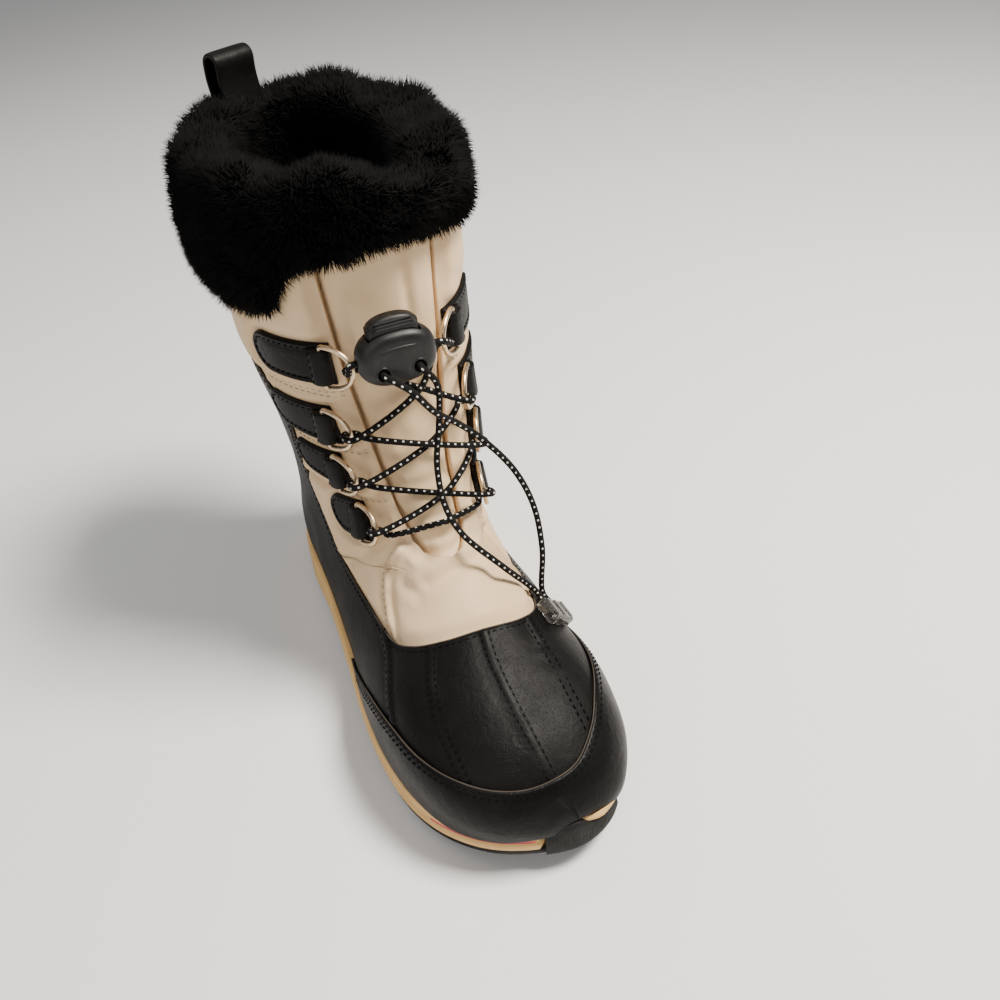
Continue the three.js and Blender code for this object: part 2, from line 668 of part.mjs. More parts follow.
function makeLace() {
  const halves = [-1, 1].map((side) => {
    const out = side < 0 ? LACE.crossLow : LACE.crossHigh;
    const last = LACING.length - 1;
    const points = [-3, 2].map((x) => inFrame(lockFrame, side * (LOCK.width / 2 + x), 0, 0));
    let at = side;
    LACING.forEach((row, i) => {
      points.push(...throughRing(row, at).slice(i === 0 ? 1 : 0));
      if (i < last) points.push(crossing(i, i + 1, out));
      at = -at;
    });
    points.push(onLast(LACING[last].u + 0.2, THREE.MathUtils.degToRad(4), LACE.crossLow));
    return tube(points, LACE.perSpan);
  });
  return halves[0].add(halves[1]);
}

const clipFrame = frameAt(CLIP.u, THREE.MathUtils.degToRad(CLIP.turn), CLIP.out, 1)
  .multiply(new THREE.Matrix4().makeRotationZ(THREE.MathUtils.degToRad(CLIP.spin)));

function makeFreeCord(side, route) {
  const floor = LOCK.depth / 2 - LOCK.holeDepth + 0.5;
  const start = [floor, floor + 4].map((z) => inFrame(lockFrame, side * LOCK.holeX, -LOCK.holeDown, z));
  const end = [7, 0.4].map((y) => inFrame(clipFrame, side * CLIP.cordX, CLIP.wide / 2 + y, 0));
  return tube([...start, ...route.map((p) => new THREE.Vector3(...p)), ...end], 2);
}

function makeClip() {
  const shape = new THREE.Shape();
  const [x, y, r] = [CLIP.long / 2, CLIP.wide / 2, 3];
  shape.absarc(x - r, y - r, r, 0, Math.PI / 2);
  shape.absarc(-x + r, y - r, r, Math.PI / 2, Math.PI);
  shape.absarc(-x + r, -y + r, r, Math.PI, 1.5 * Math.PI);
  shape.absarc(x - r, -y + r, r, 1.5 * Math.PI, 2 * Math.PI);
  return solidOf(prism(shape, CLIP.thick, clipFrame));
}

// ---------------------------------------------------------------- assembly

const MATERIALS = {
  blackRubber: { color: 0x1a1a1c, roughness: 0.75, metalness: 0 },
  creamFoam: { color: 0xd9c08a, roughness: 0.8, metalness: 0 },
  creamCloth: { color: 0xd8cbb4, roughness: 0.7, metalness: 0 },
  greyFelt: { color: 0x3a3a3c, roughness: 0.95, metalness: 0 },
  blackFur: { color: 0x0d0c0d, roughness: 0.95, metalness: 0 },
  blackLeather: { color: 0x161415, roughness: 0.45, metalness: 0 },
  paleMetal: { color: 0xc9bda0, roughness: 0.3, metalness: 1 },
  blackCord: { color: 0x141414, roughness: 0.85, metalness: 0 },
  blackPlastic: { color: 0x18181a, roughness: 0.5, metalness: 0 },
  clearPlastic: { color: 0x9a9a98, roughness: 0.2, metalness: 0 },
};

const boot = new THREE.Group();
boot.position.set(ORIGIN.x, ORIGIN.y, 0);

function place(name, solid, look) {
  const mesh = new THREE.Mesh(geometryOf(solid), new THREE.MeshStandardMaterial(MATERIALS[look]));
  mesh.name = name;
  boot.add(mesh);
}

place('outsole', makeOutsole(), 'blackRubber');
place('midsole', makeMidsole(), 'creamFoam');
place('insole', makeInsole(), 'greyFelt');
place('upper', makeUpper(), 'creamCloth');
place('tongue', makeTongue(), 'creamCloth');
place('fur_cuff', makeCuff(loopRoom()), 'blackFur');
place('pull_loop', makeLoop(), 'blackLeather');
for (const [letter, side] of [['l', -1], ['r', 1]]) {
  LACING.forEach((row, i) => {
    place(`ring_tab_${letter}${i + 1}`, makeTab(row, side), 'blackLeather');
    place(`d_ring_${letter}${i + 1}`, makeRing(row, side), 'paleMetal');
  });
}
place('lace', makeLace(), 'blackCord');
place('lock_body', makeLockBody(), 'blackPlastic');
place('lock_button', makeLockButton(), 'blackPlastic');
place('cord_left', makeFreeCord(-1, ROUTES.left), 'blackCord');
place('cord_right', makeFreeCord(1, ROUTES.right), 'blackCord');
place('cord_clip', makeClip(), 'clearPlastic');

export default boot;
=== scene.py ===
import math

import bmesh
import bpy
import numpy as np
from bpy.props import FloatProperty, FloatVectorProperty, IntProperty, PointerProperty
from mathutils import Matrix, Vector


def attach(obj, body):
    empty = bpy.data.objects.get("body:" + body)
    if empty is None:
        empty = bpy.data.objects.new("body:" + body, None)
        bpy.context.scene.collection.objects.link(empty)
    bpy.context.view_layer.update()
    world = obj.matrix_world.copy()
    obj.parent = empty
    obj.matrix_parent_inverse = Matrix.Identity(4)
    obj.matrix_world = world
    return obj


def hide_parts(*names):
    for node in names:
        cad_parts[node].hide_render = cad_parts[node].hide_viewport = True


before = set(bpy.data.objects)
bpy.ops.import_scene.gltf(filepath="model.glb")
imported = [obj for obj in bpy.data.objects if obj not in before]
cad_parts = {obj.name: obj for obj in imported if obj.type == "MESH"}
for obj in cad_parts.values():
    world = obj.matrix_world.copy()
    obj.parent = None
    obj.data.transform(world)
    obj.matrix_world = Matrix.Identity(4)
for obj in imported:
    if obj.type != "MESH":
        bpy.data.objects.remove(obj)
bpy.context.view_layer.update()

bl_info = {
    "name": "Snow Boot With Fur Collar",
    "version": (1, 0, 0),
    "blender": (4, 5, 0),
    "location": "3D View > Sidebar > Boot",
    "description": "Builds the cloth, leather, fur, cord and sole of a snow boot around its frame",
    "category": "Add Mesh",
}

BODY = "boot"
BUTTON = "lock_button"

# ------------------------------------------------------------------ sizes, in millimetres

ORIGIN = np.array([-1.8, 5.7, 0.0])
WALL = 2.6
TONGUE_BACK = -5.8
LINING_FACE, LINING_BACK = -7.4, -6.1
FOOTBED_IN = -3.8
GAP = 0.35

# The last's sections, collar to toe: back y z, front y z, half width, sideways shift,
# where it is widest, and how square its front and its back are.
LAST = np.array([
    [116, 250, -2, 244, 49, 3, .5, 2.1, 2.1],
    [116, 205, -2, 203, 50, 3, .5, 2.1, 2.1],
    [114, 165, -4, 164, 49, 3, .5, 2.1, 2.1],
    [112, 128, -10, 131, 44.5, 3.5, .48, 2.1, 2.1],
    [116, 92, -20, 109, 41, 3, .42, 2.1, 2.2],
    [122, 58, -30, 97, 40, 2, .38, 2.2, 2.4],
    [123, 20, -41, 89, 41, 1, .3, 2.2, 3],
    [72, 12, -53, 82, 43, 1, .26, 2.1, 4],
    [15, 10, -67, 76, 46, 1, .28, 2.1, 4],
    [-35, 8, -83, 70, 49.5, -1, .32, 2.2, 4],
    [-78, 9, -100, 63, 49, -.5, .34, 2.3, 4],
    [-111, 12, -119, 55, 42, 1, .34, 2.3, 3.6],
    [-131, 17, -133, 45, 30, 3.5, .36, 2.2, 3.2],
    [-140, 22, -140, 35, 16, 6, .4, 2.1, 2.4],
    [-142, 27, -142, 29, .5, 6, .4, 2, 2],
])
LAST_END = len(LAST) - 1.0
# A leather panel stops just short of the toe's point.
PANEL_END = 13.95
# Millimetres from one of the last's rows to the next, down the shaft.
ROW_DROP = 44

# The sole's outline: y, how far it reaches outwards and how far inwards.
OUTLINE = [
    (130, 1, 1), (126, -16, 18), (115, -29, 31), (98, -38, 40), (72, -43, 45), (40, -44, 45),
    (5, -47, 47), (-35, -51.5, 49), (-65, -52.5, 50), (-92, -49, 46.5), (-112, -41, 41),
    (-129, -27.5, 32), (-140, -10, 21), (-144.5, 6, 6),
]
SOLE = dict(forefoot=18, heel=29, plate=6, flare=1.6)
BUMPER = dict(left=-10, right=29, ends=-112, proud=1.0, ribs=26)
# The midsole's side: how far up it, and how far out of the outline.
MIDSOLE_SIDE = [
    (0, -.7), (.05, .5), (.2, 1.15), (.36, 1.2), (.42, .8), (.46, .5), (.51, .45), (.55, .5), (.59, .8),
    (.66, 1.15), (.8, 1.5), (.93, 1.2), (1, 0),
]

# The throat's edges: height, outer edge, inner edge.
THROAT = np.array([
    [91, 2.5, 2.5], [91.7, -3.5, 8.5], [93.4, -7.5, 12.5], [97.5, -10.5, 15.5], [112, -12.5, 18],
    [140, -15, 21], [176, -19, 26], [212, -21, 29], [275, -24, 32],
])

# The fur collar by turn in degrees: out, rise, hang outside, hang inside.
CUFF = np.array([
    [-180, 13, 12, 37, 40], [-150, 14, 14, 38, 40], [-115, 14, 10, 41, 40], [-85, 14, 11, 45, 40],
    [-62, 14.5, 15, 47, 39], [-48, 14.5, 12, 44, 38], [-37, 14, 12, 29, 38], [-12, 15, 24, 24, 38],
    [20, 14, -2, 24, 38], [50, 10.5, 15, 28, 38], [80, 8, 11, 33, 40], [115, 8, 9, 35, 40],
    [150, 10, 15, 36, 40],
])
CUFF_INSIDE = 8
CUFF_SEAT = 6.6
CUFF_TURNS, CUFF_STEPS = 150, 52
# Where the collar's grid turns over the top, goes down inside and meets the wall.
CUFF_TOP, CUFF_INNER, CUFF_WALL = 24, 33, 43
HAIR_THICK = .00034
HAIR_DROOP = (0, 0, -.22)
# A panel's edge is rounded over one part in this many of its height.
EDGE_ROUND = 60
# Metres of cord from fleck to fleck, and radians of braid in that length.
FLECK_PITCH = .0034
BRAID = 12.566
CAP_LOW = .1

# The lacing rows: place on the last, turn in degrees, tab length and half width.
LACING = [(1.6, 28, 42, 9.5), (2.42, 36, 40, 9.5), (3.2, 41, 34, 9), (4.35, 38, 27, 10)]
TAB = dict(low=.45, thick=2, fold=10, fold_top=6.3, fold_half=8, sewn_in=2.45)
RING = dict(wire=1.1, half=9.6, bow=14, bar=4.1, tilt=9)
LACE = dict(reach=18, bow=13.8, hole=10.4, over=3.4, spread=1.5, low=5.8, high=8)
LOCK = dict(u=1.4, turn=-3, out=15, width=33, height=24, depth=13, hole_x=7.5, hole_down=4.5,
            hole_radius=2.5, hole_depth=3.5, rim=2.9, entry=2.3, slot_width=22, slot_depth=8)
# The lock's outline by depth: its size, and where it is in the depth.
LOCK_PROFILE = [
    (.30, -.5), (.55, -.5), (.72, -.485), (.84, -.44), (.93, -.34), (.985, -.18), (1, 0),
    (.985, .16), (.94, .31), (.86, .42), (.76, .48), (.62, .5), (.35, .5),
]
SLIDE = dict(play=.9, rise=5.5, low=6.2, half=3.6, rib_half=8, arch=2.4)
LOOP = dict(turn=-158, width=20, strap=2, gap=6.5, top=17, sunk=10, out=-1)
CLIP = dict(u=8.65, turn=48, out=4, long=17, wide=12, thick=6, spin=20, cord_x=3.2)
ROUTES = {
    -1: [(-1.5, -31, 178), (7, -31.5, 165), (17.5, -30, 154), (26, -31, 144), (38, -35, 125),
         (44, -40, 105), (43, -48, 86)],
    1: [(11, -27, 175), (11, -24, 156), (6, -27, 135), (5, -33, 117), (8, -41, 106), (22, -51, 87)],
}

# The camera, in degrees and metres, and the lights: place, size, watts and colour.
CAMERA = dict(azimuth=-22.2, height=39.84, roll=-5.71, place=(-.0880, -.3140, .3677), lens=32.4)
LIGHTS = {
    "key": ((.52, -.30, 1.12), .34, 34, (1, .95, .87)),
    "fill": ((-.85, -.75, .8), 1.0, 5, (1, .96, .93)),
    "back": ((-.45, .75, 1.0), .9, 3.5, (1, .98, .95)),
}
LIT = (0, 0, .12)
WORLD = dict(colour=(.95, .97, 1, 1), strength=.24)
FLOOR = 6

# Lines on the last, as places and turns in degrees.
CREAM_EDGE = [
    (1.5, -180), (1.56, -140), (1.78, -104), (2.18, -76), (2.8, -73), (3.43, -79), (4.6, -75),
    (6.0, -62), (7.0, -54), (7.8, -47), (8.05, -36), (8.14, -18), (8.19, 0), (8.36, 22), (8.3, 38),
    (7.9, 47), (7.0, 55), (6.0, 64), (4.6, 77), (3.43, 81), (2.8, 75), (2.18, 78), (1.78, 104),
    (1.56, 140), (1.5, 180),
]
CREAM_EDGE_BELOW = [
    5.7, 5.75, 5.82, 5.95, 6.1, 6.25, 6.55, 7.1, 7.7, 9, 10.6, 12.6, 13.95, 12.6, 10.6, 9, 7.7, 7.1,
    6.55, 6.25, 6.1, 5.95, 5.82, 5.75, 5.7,
]
RAND_EDGE = [
    (8.2, -100), (8.74, -76), (9.38, -64), (10.18, -57), (10.77, -50), (11.42, -38), (11.81, -22),
    (11.91, -2), (11.72, 16), (11.12, 32), (10.47, 44), (9.63, 62), (8.95, 80), (8.3, 100),
]
RAND_EDGE_BELOW = [8.2, 9, 9.9, 10.8, 11.8, 12.8, 13.6, 13.95, 13.6, 12.8, 11.8, 10.4, 9.2, 8.3]
VAMP_PIPING = {
    -1: [(5.1, -23), (5.6, -30), (6.3, -36), (7.1, -41), (7.75, -45)],
    1: [(5.3, 30), (5.8, 35), (6.5, 38), (7.3, 42), (7.95, 43)],
}
QUILT_ROWS = [1.98, 2.82, 3.76]
CAP_SEAMS = [
    [(7.55, -50), (8.6, -55), (9.35, -63)],
    [(8.16, -26), (9.3, -31), (10.4, -38), (11.05, -46)],
    [(8.2, 1), (9.6, 0), (11, -1), (11.85, -3)],
    [(8.38, 27), (9.3, 27), (10.3, 27), (11.15, 31)],
]
# Folds pressed into the cloth: points, depth and half width.
CLOTH_FOLDS = [
    ([(6.35, -14), (6.12, 4), (6.1, 22), (5.75, 34), (5.3, 42)], 3.0, 4.2),
    ([(5.75, -22), (6.2, -26), (6.7, -22)], 1.6, 3.6),
    ([(6.2, 34), (6.6, 30), (7.0, 20)], 1.4, 4),
    ([(5.0, -38), (5.5, -46), (5.9, -54)], 1.7, 3.4),
    ([(4.9, 42), (5.4, 50), (5.8, 58)], 1.7, 3.4),
    ([(7.1, -30), (7.25, -14), (7.1, 4)], .6, 5),
    ([(2.95, -58), (3.1, -46), (3.0, -34)], 1.1, 3),
    ([(3.75, -70), (3.8, -56), (3.85, -44)], 1.6, 3.2),
    ([(2.25, -60), (2.2, -46), (2.35, -34)], .8, 3),
    ([(3.75, 70), (3.8, 56), (3.85, 44)], 1.6, 3.2),
    ([(1.15, -34), (1.3, -52), (1.2, -72)], 1.0, 4),
    ([(1.1, 36), (1.25, 54), (1.15, 74)], 1.0, 4),
]
TONGUE_FOLDS = [
    ([(.4, 9), (1.0, 9), (1.7, 6)], 2.2, 2.2),
    ([(3.35, -20), (3.5, 0), (3.3, 28)], 1.7, 4),
    ([(4.1, -20), (4.35, 2), (4.1, 28)], 2.3, 3.6),
    ([(4.75, -16), (4.95, 6), (4.75, 26)], 2.2, 3.2),
    ([(2.1, -12), (2.6, -6), (3.2, -9)], .8, 3),
    ([(2.0, 20), (2.6, 16), (3.1, 20)], 1.1, 3),
    ([(5.35, -12), (5.5, 4), (5.35, 22)], 1.8, 3),
]


# ------------------------------------------------------------------ what a user may change

class BootSizes(bpy.types.PropertyGroup):
    """Sizes of what lies on the boot's frame."""

    quilt_puff: FloatProperty(name="Quilt puff", description="How far the padded cloth stands out",
                              default=.0028, min=0, max=.006, unit="LENGTH")
    leather: FloatProperty(name="Leather thickness", description="Thickness of the leather panels",
                           default=.0012, min=.0004, max=.003, unit="LENGTH")
    stitch: FloatProperty(name="Stitch length", description="Length of one stitch",
                          default=.0021, min=.0008, max=.006, unit="LENGTH")
    stitch_pitch: FloatProperty(name="Stitch pitch", description="Distance from stitch to stitch",
                                default=.0031, min=.001, max=.01, unit="LENGTH")
    thread: FloatProperty(name="Thread thickness", description="Thickness of the sewing thread",
                          default=.0007, min=.0002, max=.002, unit="LENGTH")
    cord: FloatProperty(name="Cord thickness", description="Diameter of the elastic cord",
                        default=.0028, min=.001, max=.005, unit="LENGTH")
    pile: FloatProperty(name="Pile length", description="Length of the fur's hairs",
                        default=.0064, min=.002, max=.02, unit="LENGTH")
    hairs: IntProperty(name="Hairs", description="Hairs on each square centimetre of the fur",
                       default=300, min=20, max=500)


class BootColours(bpy.types.PropertyGroup):
    """Base colours of the boot's finishes."""

    cloth: FloatVectorProperty(name="Cloth", description="Colour of the padded cloth",
                               default=(.72, .525, .32), size=3, subtype="COLOR", min=0, max=1)
    leather: FloatVectorProperty(name="Leather", description="Colour of the leather",
                                 default=(.0030, .0026, .0024), size=3, subtype="COLOR", min=0, max=1)
    fur: FloatVectorProperty(name="Fur", description="Colour of the fur",
                             default=(.0026, .0023, .0022), size=3, subtype="COLOR", min=0, max=1)
    foam: FloatVectorProperty(name="Foam", description="Colour of the foam midsole",
                              default=(.70, .44, .17), size=3, subtype="COLOR", min=0, max=1)
    metal: FloatVectorProperty(name="Metal", description="Colour of the rings",
                               default=(.74, .56, .37), size=3, subtype="COLOR", min=0, max=1)
    line: FloatVectorProperty(name="Sole line", description="Colour of the line in the midsole",
                              default=(.62, .08, .10), size=3, subtype="COLOR", min=0, max=1)


# ------------------------------------------------------------------ curves and the last

def catmull_rom(a, b, c, d, t):
    """The curve from b to c at t, with its neighbours a and d."""
    return .5 * (2 * b + (c - a) * t + (2 * a - 5 * b + 4 * c - d) * t * t
                 + (3 * b - a - 3 * c + d) * t ** 3)


def through(points, count):
    """A smooth line of count points through a few, evenly spread over their numbers."""
    points = np.array(points, float)
    at = np.linspace(0, len(points) - 1, count)
    i = np.minimum(at.astype(int), len(points) - 2)
    rows = [points[np.clip(i + k, 0, len(points) - 1)] for k in (-1, 0, 1, 2)]
    return catmull_rom(*rows, (at - i)[:, None])


def centripetal(points, per_span, closed=False):
    """A centripetal Catmull-Rom line, per_span steps from point to point."""
    p = np.array(points, float)
    n = len(p)
    if closed:
        p = np.vstack([p[-1], p, p[0], p[1]])
        spans = n
    else:
        p = np.vstack([2 * p[0] - p[1], p, 2 * p[-1] - p[-2]])
        spans = n - 1
    line = []
    t = (np.arange(per_span) / per_span)[:, None]
    for i in range(spans):
        a, b, c, d = p[i:i + 4]
        da, db, dc = [max(np.linalg.norm(w - v) ** .5, 1e-4) for v, w in ((a, b), (b, c), (c, d))]
        m0 = ((b - a) / da - (c - a) / (da + db) + (c - b) / db) * db
        m1 = ((c - b) / db - (d - b) / (db + dc) + (d - c) / dc) * db
        line.append(b + m0 * t + (3 * (c - b) - 2 * m0 - m1) * t ** 2 + (2 * (b - c) + m0 + m1) * t ** 3)
    line = np.vstack(line)
    return line if closed else np.vstack([line, p[-2]])


def evenly(line, count, closed=False):
    """The same line with its points at even distances."""
    if closed:
        line = np.vstack([line, line[:1]])
    at = np.concatenate([[0], np.cumsum(np.linalg.norm(np.diff(line, axis=0), axis=1))])
    want = np.linspace(0, at[-1], count + 1)[:-1] if closed else np.linspace(0, at[-1], count)
    return np.stack([np.interp(want, at, line[:, k]) for k in range(line.shape[1])], -1)


def smooth(low, high, value):
    """0 below low, 1 above high, and soft in between."""
    t = np.clip((value - low) / (high - low), 0, 1)
    return t * t * (3 - 2 * t)


def unit(v):
    """Each vector at length 1."""
    return v / np.maximum(np.linalg.norm(v, axis=-1, keepdims=True), 1e-9)


def section(u):
    """The last's section at u, between its rows."""
    u = np.clip(u, 0, LAST_END)
    i = np.minimum(np.floor(u).astype(int), len(LAST) - 2)
    rows = [LAST[np.clip(i + k, 0, len(LAST) - 1)] for k in (-1, 0, 1, 2)]
    return catmull_rom(*rows, (u - i)[..., None])


def last_point(u, turn):
    """The place on the last at a section and a turn from its front."""
    u, turn = np.broadcast_arrays(np.asarray(u, float), np.asarray(turn, float))
    (back_y, back_z, front_y, front_z, half, shift, widest, front_n,
     back_n) = np.moveaxis(section(u), -1, 0)
    cos, sin = np.cos(turn), np.sin(turn)
    power = 2 / np.where(cos > 0, front_n, back_n)
    reach = np.abs(cos) ** power
    t = np.where(cos > 0, widest + (1 - widest) * reach, widest - widest * reach)
    return np.stack([
        shift + half * np.sign(sin) * np.abs(sin) ** power,
        back_y + (front_y - back_y) * t,
        back_z + (front_z - back_z) * t,
    ], -1)


def last_axes(u, turn):
    """Point, the way down, the way around and the way out, for each place."""
    u, turn = np.broadcast_arrays(np.asarray(u, float), np.asarray(turn, float))
    step = .01
    high, low = np.minimum(u + step, LAST_END), np.maximum(u - step, 0)
    down = (last_point(high, turn) - last_point(low, turn)) / (high - low)[..., None]
    around = (last_point(u, turn + step) - last_point(u, turn - step)) / (2 * step)
    out = unit(np.cross(around, down))
    point = last_point(u, turn)
    s = section(u)
    middle = np.stack([s[..., 5], (s[..., 0] + s[..., 2]) / 2, (s[..., 1] + s[..., 3]) / 2], -1)
    inwards = np.sum(out * (point - middle), -1) < 0
    return point, down, around, np.where(inwards[..., None], -out, out)


def on_last(u, turn, out=0.):
    """A place on the last, moved out from it."""
    point, _, _, normal = last_axes(u, turn)
    return point + normal * np.asarray(out)[..., None]


def layer(u, turn, out):
    """A grid of places on the last, all one height out from it."""
    return on_last(u, turn, out * np.ones_like(turn))


def walk(u, turn, ahead, down):
    """Places reached from (u, turn) by going some millimetres to the front and then down."""
    u, turn, ahead, down = np.broadcast_arrays(*[np.asarray(v, float) for v in (u, turn, ahead, down)])
    u, turn = u.copy(), turn.copy()
    towards = np.where(turn > 0, -1, 1)
    for _ in range(8):
        _, _, around, _ = last_axes(u, turn)
        turn = turn + towards * ahead / 8 / np.linalg.norm(around, axis=-1)
    for _ in range(8):
        _, along, _, _ = last_axes(u, turn)
        u = u + down / 8 / np.linalg.norm(along, axis=-1)
    return u, turn


def frame_at(u, turn, out, side):
    """A 4 by 4 frame on the last: x to the front, y up, z out."""
    point, _, around, normal = last_axes(u, turn)
    x = unit(-side * around)
    y = unit(np.cross(normal, x))
    if y[2] < 0:
        y = -y
    m = np.eye(4)
    m[:3, :4] = np.stack([x, y, normal, point + normal * out], -1)
    return m


def moved(m, points):
    """Points taken through a 4 by 4 frame."""
    points = np.asarray(points, float)
    return points @ m[:3, :3].T + m[:3, 3]


def turned(axis, degrees):
    """A frame turned about one of its axes."""
    return np.array(Matrix.Rotation(math.radians(degrees), 4, axis))


def shifted(x, y, z):
    """A frame moved along its axes."""
    return np.array(Matrix.Translation((x, y, z)))


def squarish(count, power):
    """A closed line from -1 to 1, round at power 1 and square near 0."""
    a = np.arange(count) / count * 2 * np.pi
    return [np.sign(v) * np.abs(v) ** power for v in (np.cos(a), np.sin(a))]


def bisect(is_past, low, high):
    """Where is_past turns true, between low and high."""
    for _ in range(34):
        middle = (low + high) / 2
        past = is_past(middle)
        low, high = np.where(past, low, middle), np.where(past, middle, high)
    return (low + high) / 2


def spring(y):
    """How far the toe's end of the sole is lifted."""
    ahead = np.maximum((-80 - y) / 66, 0)
    return 11 * ahead ** 1.7


def ground_level(y):
    """The underside of the tread: toe spring, heel bevel and arch."""
    bevel = 3 * np.maximum((y - 118) / 22, 0) ** 2
    along = np.clip((y + 14) / 70, 0, 1)
    return spring(y) + bevel + 3.5 * np.sin(np.pi * along) ** 2


def plate_top(y):
    """The top of the tread plate."""
    return ground_level(y) + SOLE["plate"]


def sole_top(y):
    """The top of the midsole, from the forefoot up to the heel."""
    return SOLE["forefoot"] + (SOLE["heel"] - SOLE["forefoot"]) * smooth(-30, 45, y) + spring(y)


def sole_turn(u, side, lift=-1.5):
    """The turn at which a section meets the sole's top."""
    u = np.asarray(u, float)

    def below(turn):
        p = last_point(u, side * turn)
        return p[..., 2] < sole_top(p[..., 1]) + lift
    full = np.full(u.shape, np.pi)
    return side * np.where(below(full), bisect(below, np.full(u.shape, math.radians(50)), full), full)


def throat_turn(u, side, inset=0.):
    """The turn of the throat's edge on one side, moved some millimetres towards that side."""
    column = 1 if side < 0 else 2

    def past(turn):
        p = last_point(u, turn)
        edge = np.interp(p[..., 2], THROAT[:, 0], THROAT[:, column])
        return p[..., 0] > edge + side * inset
    u = np.asarray(u, float)
    return bisect(past, np.full(u.shape, -1.3), np.full(u.shape, 1.3))


def line_on_last(controls, count, out=0.):
    """A smooth line over the last through a few places."""
    places = through(controls, count)
    return on_last(places[:, 0], np.radians(places[:, 1]), out)


def distance(points, line):
    """How far each point is from the nearest point of a line."""
    flat = points.reshape(-1, 3)
    best = np.full(len(flat), 1e9)
    for q in line:
        best = np.minimum(best, np.sum((flat - q) ** 2, -1))
    return np.sqrt(best).reshape(points.shape[:-1])


def nearness(points, line, width):
    """1 on a line and falling to 0 within about twice width from it."""
    return np.exp(-(distance(points, line) / width) ** 2)


def inside(u, turn, polygon):
    """Whether places lie inside a closed line of places."""
    result = np.zeros(np.shape(u), bool)
    for (au, at), (bu, bt) in zip(polygon, np.roll(polygon, -1, axis=0)):
        if at != bt:
            crosses = (at > turn) != (bt > turn)
            result ^= crosses & (u < (bu - au) * (turn - at) / (bt - at) + au)
    return result


def waves(p, scale, seed):
    """A soft uneven pattern from -1 to 1."""
    q = np.asarray(p) / scale
    a = np.sin(q[..., 0] + 1.3 * np.sin(q[..., 1] * .9 + seed) + seed)
    b = np.sin(q[..., 1] * 1.1 + 1.2 * np.sin(q[..., 2] * .8 + 2 * seed))
    c = np.sin(q[..., 2] * .9 + 1.4 * np.sin(q[..., 0] * 1.2 + 3 * seed) + 1.7)
    return (a + b + c) / 3


# ------------------------------------------------------------------ meshes

def tidy_faces(points, faces):
    """Merges points that coincide and drops faces that fold flat or meet face to face."""
    points = np.asarray(points, float)
    _, first, same = np.unique(np.round(points / .002).astype(np.int64), axis=0,
                               return_index=True, return_inverse=True)
    same = same.reshape(-1)
    kept, seen = {}, {}
    for face in faces:
        corners = []
        for k in face:
            v = int(same[k])
            if v not in corners:
                corners.append(v)
        if len(corners) > 2:
            key = frozenset(corners)
            seen[key] = seen.get(key, 0) + 1
            kept[key] = corners
    return points[first], [c for key, c in kept.items() if seen[key] == 1]


def new_object(name, points, faces, look, uv=None, merge=True, outwards=True):
    """A mesh piece from points in millimetres."""
    if merge:
        points, faces = tidy_faces(points, faces)
    mesh = bpy.data.meshes.new(name)
    mesh.from_pydata(((np.asarray(points) + ORIGIN) / 1000).tolist(), [], faces)
    if outwards:
        work = bmesh.new()
        work.from_mesh(mesh)
        loose = [v for v in work.verts if not v.link_faces]
        bmesh.ops.delete(work, geom=loose, context="VERTS")
        bmesh.ops.recalc_face_normals(work, faces=work.faces)
        work.to_mesh(mesh)
        work.free()
    if uv is not None:
        chart = mesh.uv_layers.new(name="UVMap")
        corner = np.zeros(len(mesh.loops), np.int32)
        mesh.loops.foreach_get("vertex_index", corner)
        chart.data.foreach_set("uv", np.asarray(uv, np.float32)[corner].ravel())
    mesh.shade_smooth()
    mesh.materials.append(look)
    piece = bpy.data.objects.new(name, mesh)
    bpy.context.scene.collection.objects.link(piece)
    return piece


def grid_faces(rows, columns, start=0, flip=False, wrap=False):
    """Faces between a grid's points; wrap joins its last column to its first."""
    faces = []
    for i in range(rows - 1):
        for j in range(columns if wrap else columns - 1):
            k = (j + 1) % columns
            a, b = start + i * columns + j, start + i * columns + k
            c, d = start + (i + 1) * columns + k, start + (i + 1) * columns + j
            faces.append((d, c, b, a) if flip else (a, b, c, d))
    return faces


def shell_data(outer, inner):
    """Points and faces of a sheet with thickness, from its two sides as grids."""
    rows, columns = outer.shape[:2]
    n = rows * columns
    faces = grid_faces(rows, columns) + grid_faces(rows, columns, n, flip=True)
    rim = [i * columns for i in range(rows)]
    rim += [(rows - 1) * columns + j for j in range(1, columns)]
    rim += [i * columns + columns - 1 for i in range(rows - 2, -1, -1)]
    rim += [j for j in range(columns - 2, 0, -1)]
    for a, b in zip(rim, rim[1:] + rim[:1]):
        faces.append((a, b, b + n, a + n))
    return np.vstack([outer.reshape(-1, 3), inner.reshape(-1, 3)]), faces


def joined(parts):
    """Several sets of points and faces as one."""
    points, faces, start = [], [], 0
    for p, f in parts:
        points.append(p)
        faces += [tuple(k + start for k in face) for face in f]
        start += len(p)
    return np.vstack(points), faces


def loft_data(rings, closed=False):
    """A solid through rings of points; a closed one joins its last ring to its first."""
    rings = np.asarray(rings, float)
    count, n = rings.shape[:2]
    points = rings.reshape(-1, 3)
    faces = grid_faces(count, n, wrap=True)
    if closed:
        last = (count - 1) * n
        faces += [(last + j, last + (j + 1) % n, (j + 1) % n, j) for j in range(n)]
    else:
        points = np.vstack([points, rings[0].mean(0), rings[-1].mean(0)])
        hub = count * n
        last = (count - 1) * n
        faces += [(hub, (j + 1) % n, j) for j in range(n)]
        faces += [(hub + 1, last + j, last + (j + 1) % n) for j in range(n)]
    return points, faces


